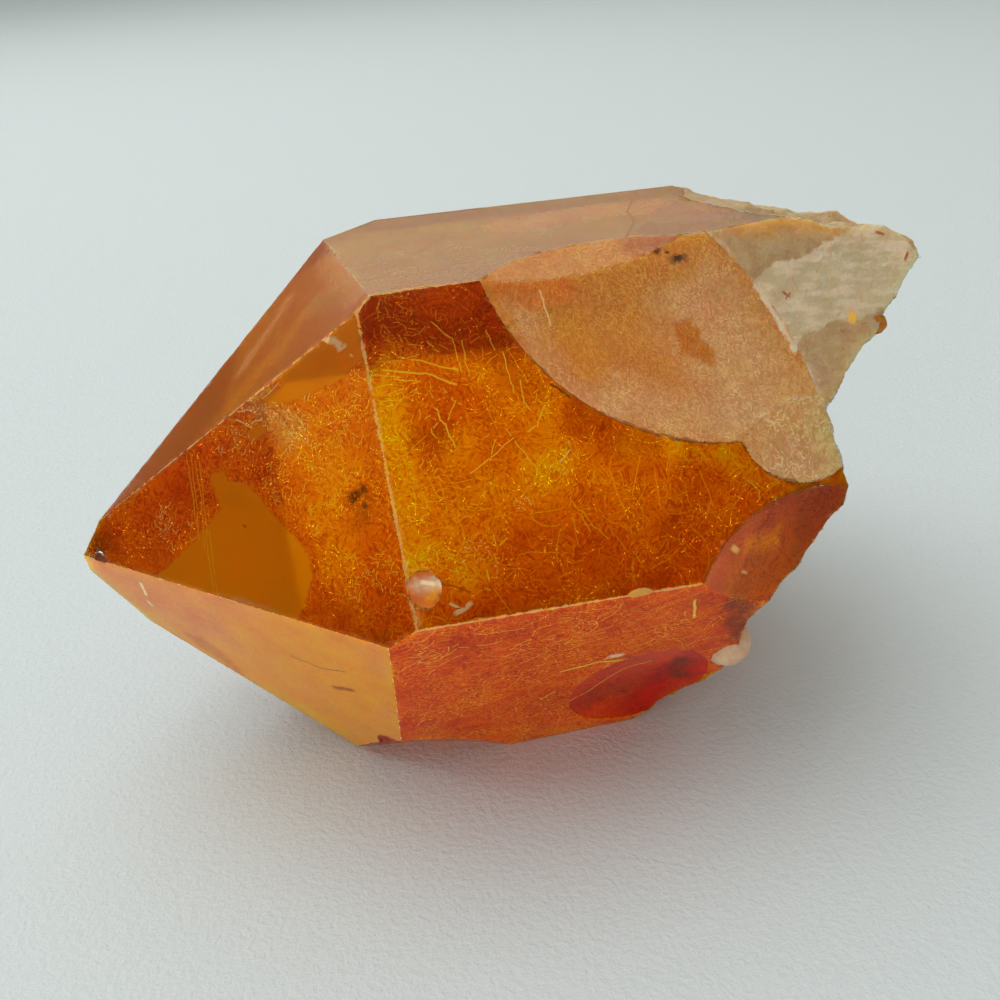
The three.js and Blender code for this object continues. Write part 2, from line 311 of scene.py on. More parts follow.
# ---- where the colours lie: tints are linear, lengths are millimetres ----
skin = {
    "tints": {
        "umber": (0.10, 0.02, 0.0),
        "garnet": (0.30, 0.004, 0.0),
        "rust": (0.27, 0.022, 0.0),
        "ember": (0.42, 0.055, 0.0),
        "amber": (0.50, 0.11, 0.0),
        "glow": (0.50, 0.068, 0.0),
        "carmine": (0.40, 0.02, 0.0),
        "tangerine": (0.66, 0.11, 0.0),
        "marigold": (0.63, 0.20, 0.0),
        "honey": (0.68, 0.31, 0.0),
        "clay": (0.33, 0.10, 0.004),
        "orangeStain": (0.44, 0.15, 0.0),
        "tan": (0.50, 0.22, 0.03),
        "wheat": (0.57, 0.27, 0.004),
        "peach": (0.55, 0.265, 0.018),
        # pale sand: the pale skin of the tops, and in part a painted reflection of the bright window on them
        "sand": (0.38, 0.29, 0.12),
        "blush": (0.56, 0.35, 0.19),
        "ledgeTan": (0.35, 0.193, 0.075),
        "cream": (0.42, 0.34, 0.20),
        "pale": (0.60, 0.45, 0.30),
    },
    "ground": {  # the tint of each surface before the strokes; the rest are amber
        # the top's pale ground is in part a painted reflection of the window
        "prismTop": "sand",
        "pointTop": "clay",
        "pointFrontUpper": "amber",
        "pointFrontLower": "peach",
        "prismFrontUpper": "amber",
        "prismFrontLower": "glow",
        "prismBackUpper": "marigold",
        "prismBackLower": "marigold",
        "pointBackUpper": "marigold",
        "pointBackLower": "marigold",
        "prismUnder": "peach",
        "pointUnder": "peach",
        "shoulder": "tan",
        "shoulderStep": "blush",
        "crest": "tan",
        "frontBevel": "ember",
        "rootBack": "ledgeTan",
        "creamFacet": "ledgeTan",
        "rootTop": "ledgeTan",
        "rootTip": "cream",
        "rootTipEnd": "cream",
        "rootTipUnder": "ledgeTan",
        "endUpper": "ledgeTan",
        "endNotch": "ember",
        "endMiddle": "blush",
        "endLower": "amber",
        "ledgeNear": "ledgeTan",
        "ledgeMiddle": "ledgeTan",
        "ledgeFar": "ledgeTan",
        "cornerChip": "rust",
        "cornerNick": "garnet",
        "edgeNick": "pale",
        "faceNick": "amber",
        "tipNick": "umber",
        "redSpall": "carmine",
        "stepWall": "blush",
        "stepCeiling": "clay",
        "paleNub": "blush",
        "rimBump": "clay",
    },
    "strokes": [  # surface, tint, strength, half width, path
        ("prismFrontUpper", "rust", 0.95, 3.0, ((-13.9, -15.2, 48.7), (-9.4, -14.8, 49.3), (-4.4, -14.3, 49.8))),
        ("prismFrontUpper", "rust", 0.70, 1.9, ((-5.0, -14.7, 49.1), (-1.9, -16.2, 46.4), (0.4, -19.7, 40.3), (3.4, -21.4, 37.2))),
        ("prismFrontUpper", "ember", 0.80, 2.9, ((-8.0, -15.9, 47.2), (-7.4, -19.0, 41.8), (-8.9, -22.0, 36.7))),
        ("prismFrontUpper", "marigold", 0.60, 1.2, ((-13.0, -16.6, 46.3), (-9.3, -17.0, 45.5), (-6.9, -17.5, 44.4))),
        ("prismFrontUpper", "honey", 0.95, 1.7, ((-14.8, -18.0, 44.0), (-14.8, -21.6, 37.6), (-14.7, -25.5, 31.0))),
        ("prismFrontUpper", "honey", 0.70, 2.9, ((-13.6, -23.0, 35.2), (-11.5, -23.1, 34.9), (-8.5, -22.0, 36.7))),
        ("prismFrontUpper", "marigold", 0.60, 2.4, ((-12.9, -24.7, 32.1), (-9.9, -25.8, 30.1), (-7.0, -25.2, 31.2))),
        ("prismFrontUpper", "marigold", 0.75, 3.5, ((-2.7, -18.4, 42.7), (-1.6, -21.6, 37.2), (0.3, -22.6, 35.3))),
        ("prismFrontUpper", "ember", 0.35, 1.7, ((-5.9, -22.2, 36.3), (-3.7, -21.0, 38.2))),
        ("prismFrontUpper", "ember", 0.75, 3.0, ((-6.4, -26.1, 29.6), (-2.1, -26.4, 28.8), (4.6, -28.2, 25.4), (10.4, -27.7, 26.0))),
        ("prismFrontUpper", "ember", 0.35, 3.7, ((2.9, -22.7, 34.9), (6.4, -23.4, 33.6), (10.3, -25.4, 29.9), (6.3, -26.1, 29.0))),
        ("prismFrontUpper", "honey", 0.70, 1.3, ((6.6, -21.7, 36.6), (11.5, -22.3, 35.2), (15.8, -22.6, 34.6), (18.1, -24.0, 32.0), (23.3, -24.7, 30.6))),
        ("prismFrontUpper", "rust", 0.60, 1.1, ((1.6, -20.2, 39.4), (3.5, -21.2, 37.5), (7.9, -21.9, 36.1))),
        ("prismFrontUpper", "ember", 0.50, 1.4, ((-13.8, -27.2, 27.8), (-14.9, -28.0, 26.6), (-9.8, -28.2, 26.0))),
        ("prismFrontLower", "ember", 0.70, 1.6, ((-16.4, -27.0, 23.2), (-9.7, -26.7, 22.5), (1.2, -27.1, 22.9), (10.8, -26.8, 22.2))),
        ("prismFrontLower", "amber", 0.30, 2.5, ((-1.6, -23.3, 16.2), (1.9, -24.6, 18.5), (10.9, -24.5, 18.1))),
        ("prismFrontLower", "amber", 0.50, 1.5, ((-16.9, -18.3, 7.4), (-9.6, -16.6, 4.2), (0.4, -15.0, 1.1))),
        ("prismFrontLower", "ember", 0.75, 1.6, ((7.6, -22.7, 14.7), (12.8, -22.7, 14.8), (16.8, -22.0, 13.4))),
        ("prismFrontLower", "rust", 0.40, 1.3, ((9.8, -27.0, 22.6), (15.1, -26.2, 20.9))),
        ("pointFrontUpper", "umber", 0.90, 1.4, ((-42.6, -3.6, 26.3), (-41.0, -4.6, 27.0))),
        ("pointFrontUpper", "ember", 0.80, 2.3, ((-39.0, -6.2, 27.5), (-33.5, -8.6, 32.0), (-31.6, -8.7, 34.8))),
        ("pointFrontUpper", "marigold", 0.75, 3.0, ((-19.4, -16.8, 40.1), (-21.2, -18.4, 34.4), (-21.2, -20.9, 29.8))),
        ("pointFrontUpper", "rust", 0.55, 1.9, ((-24.6, -20.9, 24.3), (-19.8, -25.0, 24.8), (-17.0, -27.1, 25.5))),
        ("pointFrontUpper", "ember", 0.65, 1.4, ((-26.7, -12.7, 35.7), (-24.0, -17.0, 32.3), (-23.2, -20.7, 27.0))),
        ("pointFrontUpper", "rust", 0.70, 1.1, ((-18.0, -20.9, 35.0), (-18.1, -21.7, 33.5))),
        ("pointFrontUpper", "sand", 0.50, 1.3, ((-25.2, -10.7, 41.5), (-22.7, -14.1, 39.5))),
        ("pointFrontUpper", "ember", 0.60, 1.7, ((-16.9, -24.3, 30.8), (-16.4, -26.8, 27.1))),
        # painted reflection: the pale blush streaks on the top of the point stand in part for the window's reflection
        ("pointTop", "blush", 0.50, 1.7, ((-15.6, 3.8, 50.2), (-14.8, -11.4, 50.4))),
        ("pointTop", "clay", 0.30, 1.5, ((-18.2, -7.2, 47.8), (-25.5, -8.7, 41.7), (-30.7, -8.3, 37.5))),
        ("pointTop", "blush", 0.50, 0.8, ((-20.2, 1.8, 46.4), (-26.1, -2.3, 41.5))),
        ("shoulder", "tan", 0.70, 3.7, ((3.5, -11.0, 49.7), (0.8, -13.3, 47.9), (6.1, -14.2, 44.6))),
        ("shoulder", "blush", 0.60, 1.4, ((-1.2, -13.8, 48.3), (0.9, -18.4, 42.1), (4.8, -20.3, 38.9))),
        ("shoulder", "blush", 0.70, 4.2, ((16.8, -11.8, 45.2), (19.7, -19.2, 37.5), (22.0, -22.9, 34.6))),
        ("shoulder", "blush", 0.60, 2.2, ((6.2, -19.0, 39.6), (13.3, -20.3, 37.0), (19.0, -20.8, 36.2))),
        ("crest", "clay", 0.90, 1.2, ((12.7, -7.0, 50.3), (17.0, -8.9, 50.2), (20.7, -8.4, 51.4))),
        ("crest", "tan", 0.60, 0.9, ((-0.1, -10.4, 50.2), (7.9, -9.2, 49.4))),
        ("frontBevel", "rust", 0.85, 1.5, ((12.5, -27.2, 27.8), (20.4, -24.7, 29.7), (25.5, -24.6, 29.1))),
        ("frontBevel", "marigold", 0.45, 1.7, ((14.5, -26.3, 22.2), (20.9, -24.5, 22.6))),
        ("redSpall", "garnet", 0.95, 2.3, ((9.1, -16.0, 3.6), (10.7, -17.6, 6.9), (12.3, -18.9, 8.9))),
        ("redSpall", "rust", 0.80, 1.7, ((3.1, -17.3, 6.0), (6.4, -17.2, 6.4))),
        ("redSpall", "umber", 0.80, 0.8, ((11.6, -20.1, 10.9), (12.9, -18.1, 7.4))),
        ("shoulder", "orangeStain", 0.95, 1.2, ((14.5, -13.7, 43.2), (14.8, -14.7, 42.0), (15.8, -15.2, 41.4))),
        ("shoulder", "orangeStain", 0.50, 0.4, ((0.8, -13.3, 47.9), (1.4, -13.2, 47.7))),
        ("pointFrontLower", "tan", 0.70, 3.7, ((-43.4, -1.2, 21.0), (-36.3, -7.0, 19.4), (-31.9, -13.8, 23.7))),
        ("pointFrontLower", "wheat", 0.90, 3.0, ((-31.9, -2.7, 5.5), (-24.9, -18.7, 20.8), (-21.7, -20.8, 19.2))),
        ("pointFrontLower", "wheat", 0.60, 2.4, ((-23.0, -12.6, 7.9), (-19.4, -19.2, 13.0))),
        ("pointFrontLower", "clay", 0.40, 1.3, ((-33.9, -5.3, 13.0), (-30.8, -4.3, 6.4))),
        ("pointFrontLower", "tan", 0.70, 0.9, ((-18.8, -25.8, 23.0), (-18.1, -19.0, 10.8))),
        ("prismFrontUpper", "rust", 0.75, 1.7, ((-14.4, -14.8, 49.5), (-10.6, -15.8, 47.5), (-6.5, -16.4, 46.2), (-1.9, -16.2, 46.4))),
        ("prismFrontUpper", "rust", 0.65, 1.2, ((-13.1, -20.4, 39.6), (-11.1, -20.8, 38.9), (-10.4, -20.2, 40.0))),
        ("prismFrontUpper", "ember", 0.50, 1.2, ((-11.0, -21.9, 37.1), (-10.2, -23.2, 34.7))),
        ("prismFrontUpper", "honey", 0.60, 1.7, ((-2.3, -21.1, 38.0), (-1.3, -22.5, 35.6), (-2.3, -23.3, 34.2))),
        ("prismFrontUpper", "honey", 0.60, 1.5, ((-9.9, -25.8, 30.1), (-7.7, -24.7, 32.0))),
        ("prismFrontUpper", "ember", 0.50, 1.4, ((9.6, -27.2, 26.9), (4.7, -27.7, 26.2), (-4.5, -27.9, 26.2), (-10.6, -27.9, 26.5))),
        ("prismFrontUpper", "amber", 0.40, 2.6, ((-1.1, -23.8, 33.3), (5.4, -26.0, 29.1), (1.1, -27.5, 26.8))),
        ("edgeNick", "pale", 0.95, 0.5, ((3.6, -28.2, 24.8), (5.9, -28.3, 25.0))),
        ("prismFrontLower", "ember", 0.65, 1.5, ((-2.7, -19.3, 8.9), (3.6, -19.1, 8.5), (9.9, -16.7, 3.9), (13.5, -18.9, 7.8))),
        ("prismFrontLower", "umber", 0.80, 1.2, ((14.6, -26.3, 21.1), (18.0, -21.8, 13.0))),
        # painted reflection: the pale streaks on the top faces stand in part for the window's reflection
        ("prismTop", "blush", 0.70, 2.8, ((21.2, -1.3, 50.4), (19.4, 5.0, 50.3), (8.8, 6.1, 50.3), (3.8, 3.9, 50.3))),
        ("prismTop", "sand", 0.50, 2.0, ((-12.3, 5.9, 50.3), (-7.8, -2.9, 50.4), (-2.2, 0.4, 50.4))),
        ("pointTop", "sand", 0.35, 1.7, ((-17.9, -5.1, 48.1), (-14.8, -11.4, 50.4))),
        ("creamFacet", "blush", 0.80, 2.1, ((17.8, -9.4, 49.3), (19.9, -12.8, 45.1), (22.9, -18.8, 38.8), (23.2, -22.8, 35.3))),
        ("creamFacet", "tan", 0.50, 1.4, ((22.9, -7.0, 50.5), (27.7, -5.9, 50.7))),
        ("crest", "clay", 0.80, 1.6, ((12.4, -7.7, 50.0), (17.8, -9.3, 50.2), (18.8, -11.7, 49.7))),
        ("pointTop", "wheat", 0.35, 1.1, ((-19.9, -5.0, 46.4), (-23.3, -6.8, 43.6), (-30.7, -8.3, 37.5))),
        ("frontBevel", "rust", 0.60, 1.5, ((13.5, -27.7, 32.4), (20.1, -25.0, 30.9), (25.5, -24.6, 29.1))),
        ("frontBevel", "wheat", 0.40, 1.7, ((17.5, -25.0, 24.1), (15.1, -26.1, 22.0))),
        ("shoulder", "wheat", 0.35, 2.2, ((2.3, -14.2, 46.1), (3.3, -16.6, 43.0))),
        ("pointFrontLower", "tan", 0.85, 3.1, ((-42.0, -3.5, 22.7), (-37.5, -6.5, 20.6), (-33.5, -9.5, 19.2))),
        ("pointFrontLower", "honey", 0.90, 1.9, ((-32.6, -5.8, 11.7), (-26.8, -8.5, 7.1), (-23.2, -10.2, 4.2))),
        ("pointFrontLower", "wheat", 0.90, 2.9, ((-28.5, -13.8, 18.5), (-21.8, -18.2, 15.2), (-18.5, -21.7, 15.7))),
        ("pointFrontLower", "clay", 0.60, 1.0, ((-34.7, -5.6, 14.5), (-31.4, -5.9, 10.0))),
        ("creamFacet", "tan", 0.50, 1.7, ((22.7, -6.3, 51.3), (27.8, -5.6, 50.9), (32.9, -6.4, 49.2))),
        ("shoulder", "tan", 0.80, 1.7, ((-1.3, -13.0, 49.5), (1.4, -12.9, 48.1), (7.3, -11.0, 48.2), (15.7, -9.4, 48.4))),
        ("prismFrontUpper", "rust", 0.60, 1.6, ((-8.5, -16.1, 46.9), (-4.0, -17.0, 45.1), (-1.9, -18.7, 42.2))),
        ("prismFrontUpper", "ember", 0.60, 1.2, ((-7.4, -19.0, 41.8), (-6.3, -20.8, 38.6), (-8.5, -22.0, 36.7))),
        ("prismFrontUpper", "honey", 0.80, 0.8, ((-14.6, -18.6, 42.8), (-14.5, -22.1, 36.8), (-14.5, -25.5, 30.9))),
        ("prismFrontUpper", "honey", 0.60, 1.0, ((-1.2, -20.5, 39.0), (-0.2, -21.4, 37.3), (-1.5, -22.4, 35.6))),
        ("prismFrontUpper", "ember", 0.50, 2.3, ((0.3, -24.8, 31.5), (5.1, -26.9, 27.7), (9.6, -27.2, 26.9))),
        ("shoulder", "tangerine", 0.30, 1.4, ((-2.2, -13.0, 50.0), (-0.0, -13.1, 48.7), (3.1, -11.9, 48.6))),
        ("frontBevel", "rust", 0.55, 2.5, ((13.9, -26.3, 24.5), (20.9, -24.5, 23.1), (24.6, -24.4, 28.7))),
        ("frontBevel", "honey", 0.70, 0.8, ((16.9, -25.1, 25.9), (19.2, -24.6, 26.2))),
        ("faceNick", "blush", 0.95, 0.6, ((-14.6, -26.1, 29.1), (-13.9, -26.3, 28.8), (-13.1, -26.3, 28.9))),
        ("faceNick", "honey", 0.60, 0.5, ((-13.0, -26.9, 28.0), (-12.6, -26.8, 28.3))),
    ],
    "patches": {  # crisp outlines: iron films on the point, the pale quartz of the root
        "wideFilm": (("pointFrontUpper",), (-0.6, -0.68, 0.39), [(-37.7, -9.2, 24.2), (-36.8, -9.5, 25.0), (-32.1, -11.2, 29.5), (-29.9, -11.8, 32.0), (-30.5, -9.8, 34.6), (-29.1, -10.7, 35.3), (-28.6, -11.7, 34.4), (-27.5, -12.5, 34.7), (-26.3, -14.1, 33.8), (-25.3, -15.8, 32.4), (-23.7, -18.1, 30.9), (-23.2, -18.8, 30.4), (-22.8, -19.7, 29.5), (-22.9, -20.5, 27.9), (-23.6, -20.6, 26.6), (-23.9, -20.9, 25.5), (-24.8, -20.8, 24.3), (-26.2, -20.6, 22.3)]),
        "upperFilm": (("pointFrontUpper",), (-0.6, -0.68, 0.39), [(-18.5, -13.5, 47.3), (-15.4, -14.9, 49.9), (-15.8, -16.8, 45.8), (-16.8, -16.3, 45.0), (-18.4, -15.7, 43.7), (-20.8, -14.2, 42.5), (-22.8, -12.8, 41.6), (-24.1, -12.0, 41.0), (-25.2, -10.9, 41.3), (-24.5, -11.1, 41.9), (-22.6, -12.4, 42.8), (-23.1, -11.4, 43.7)]),
        "smallFilm": (("pointFrontUpper",), (-0.6, -0.68, 0.39), [(-26.7, -11.0, 38.6), (-24.9, -11.9, 39.9), (-24.5, -12.8, 39.1), (-26.3, -11.9, 37.7)]),
        "paleRoot": (
            ("creamFacet", "rootTip", "rootTipEnd", "rootTop", "ledgeFar", "ledgeMiddle", "ledgeNear", "shoulder"),
            (0.11, -0.7, 0.7),
            [(22.2, -11.2, 46.1), (25.4, -9.4, 47.3), (28.6, -8.9, 47.1), (31.1, -7.9, 47.8), (37.0, -6.1, 48.9), (39.1, -6.3, 48.5), (40.7, -7.5, 47.2), (41.9, -8.9, 45.6), (38.8, -11.3, 43.3), (35.9, -12.8, 42.2), (32.0, -13.9, 41.6), (30.4, -13.8, 42.0), (28.4, -14.5, 41.7), (26.0, -15.0, 41.6), (24.5, -16.9, 40.2), (23.5, -13.9, 43.2)],
        ),
    },
    "wornAndLitEdges": {  # half width of the pale line along an edge: chipped wear, and in part a painted highlight where the edge catches the light
        ("prismFrontUpper", "pointFrontUpper"): 0.17,
        ("prismFrontUpper", "prismFrontLower"): 0.15,
        ("prismFrontUpper", "prismTop"): 0.1,
        ("pointFrontUpper", "pointTop"): 0.1,
        ("prismFrontUpper", "pointTop"): 0.2,
    },
    "usualWearAndHighlight": 0.06,
    "darkRims": {  # broken surfaces that end in a thin dark line on a growth face
        ("prismFrontUpper", "shoulder"),
        ("prismFrontUpper", "shoulderStep"),
        ("prismFrontUpper", "frontBevel"),
        ("prismFrontLower", "endUpper"),
    },
    "chipped": {"edgeNick": 0.2},  # small chips as pale as a worn edge
    "clearFaces": ("pointFrontLower", "pointTop", "prismTop"),  # glassy, without hairs
    "milkyFaces": ("pointFrontLower", "prismFrontLower", "redSpall"),
    "crispTint": "orangeStain",
    "cloud": 0.3,  # size of the broad clouds in the stain, per millimetre
}


def toPath(p, path):
    path = np.array(path, float)
    if len(path) == 1:
        return np.linalg.norm(p - path[0], axis=1)
    nearest = np.full(len(p), 1e9)
    for a, b in zip(path[:-1], path[1:]):
        along = np.clip(((p - a) @ (b - a)) / ((b - a) @ (b - a)), 0, 1)
        nearest = np.minimum(nearest, np.linalg.norm(p - a - along[:, None] * (b - a), axis=1))
    return nearest


def insidePatch(p, outline, normal):
    """How far points lie inside a flat outline; outside it the distance is negative."""
    outline = np.array(outline)
    right = unit(np.cross(normal, [0, 0, 1]))
    up = np.cross(right, normal)
    flat = np.stack([p @ right, p @ up], 1)
    ring = np.stack([outline @ right, outline @ up], 1)
    inside = np.zeros(len(p), bool)
    for a, b in zip(ring, np.roll(ring, -1, axis=0)):
        spans = (a[1] > flat[:, 1]) != (b[1] > flat[:, 1])
        crossing = a[0] + (flat[:, 1] - a[1]) / (b[1] - a[1] + 1e-12) * (b[0] - a[0])
        inside ^= spans & (flat[:, 0] < crossing)
    distance = toPath(np.c_[flat, np.zeros(len(p))], [*np.c_[ring, np.zeros(len(ring))], (*ring[0], 0)])
    return np.where(inside, distance, -distance)


corner = points[loopVertex]
drift = np.array([noise.noise_vector(Vector(p) * 0.35) for p in points])[loopVertex]
fineDrift = np.array([noise.noise_vector(Vector(p) * 1.5) for p in points])[loopVertex]
wandering = corner + 0.9 * drift + 0.5 * fineDrift
tintRow = {name: np.array(value) for name, value in skin["tints"].items()}
colour = np.array([tintRow[skin["ground"].get(name, "amber")] for name in surfaceNames])[loopOwner]
for surface, tint, strength, width, path in skin["strokes"]:
    rows = np.nonzero(loopOwner == surfaceIndex[surface])[0]
    if tint == skin["crispTint"]:
        near = np.clip((width - toPath(corner[rows] + 0.5 * fineDrift[rows], path)) / 0.3 + 0.5, 0, 1)
    else:
        near = np.clip(1.35 - toPath(wandering[rows], path) / width * 0.75, 0, 1)
    amount = (strength * near * near * (3 - 2 * near))[:, None]
    colour[rows] += amount * (tintRow[tint] - colour[rows])
swell = np.array([noise.fractal(Vector(p) * skin["cloud"], 0.7, 2.2, 4) for p in points])[loopVertex]
patchy = np.where(kindOf[loopOwner] > 0, 0.25, 1)
patchy[np.isin(loopOwner, [surfaceIndex[name] for name in skin["clearFaces"]])] = 0.35
colour = colour * (1 + (patchy * np.clip(swell, -1, 1))[:, None] * (0.2, 0.55, 0.3))

patch = np.full(len(corner), -9.0)
for surfaces, normal, outline in skin["patches"].values():
    rows = np.nonzero(np.isin(loopOwner, [surfaceIndex[name] for name in surfaces]))[0]
    patch[rows] = np.maximum(patch[rows], insidePatch(corner[rows], outline, unit(normal)))

patch[np.isin(loopOwner, [surfaceIndex[name] for name in skin["clearFaces"]])] = 9

edge = np.full(len(corner), 9.0)  # distance to the nearest edge, in half widths of its worn line
rim = np.full(len(corner), 9.0)  # distance to the rim of a broken surface
for name in members:
    rows = np.nonzero(loopOwner == surfaceIndex[name])[0]
    grown = name in stone["growthFaces"]
    outwardHere = offSurface(name, corner[rows])[1]
    for other in members:
        if other == name or other in stone["scraps"] or name in stone["scraps"]:
            continue
        gap, outward = offSurface(other, corner[rows])
        slant = np.sqrt(np.clip(1 - (outward * outwardHere).sum(1) ** 2, 0.01, 1))
        reach = np.clip(-gap / slant, 0, 9)
        if grown and other in stone["growthFaces"]:
            width = skin["wornAndLitEdges"].get((name, other)) or skin["wornAndLitEdges"].get((other, name)) or skin["usualWearAndHighlight"]
            edge[rows] = np.minimum(edge[rows], reach / width)
        elif (name, other) in skin["darkRims"] or (other, name) in skin["darkRims"]:
            rim[rows] = np.minimum(rim[rows], reach)
for name, wear in skin["chipped"].items():
    edge[loopOwner == surfaceIndex[name]] = wear


def store(name, values):
    if values.ndim == 2:
        layer = mesh.color_attributes.new(name, "FLOAT_COLOR", "CORNER")
        layer.data.foreach_set("color", np.c_[values, np.ones(len(values))].astype(np.float32).ravel())
    else:
        layer = mesh.attributes.new(name, "FLOAT", "CORNER")
        layer.data.foreach_set("value", values.astype(np.float32))


store("stain", colour)
store("patch", patch)
store("edge", edge)
store("rim", rim)
print("colours placed")


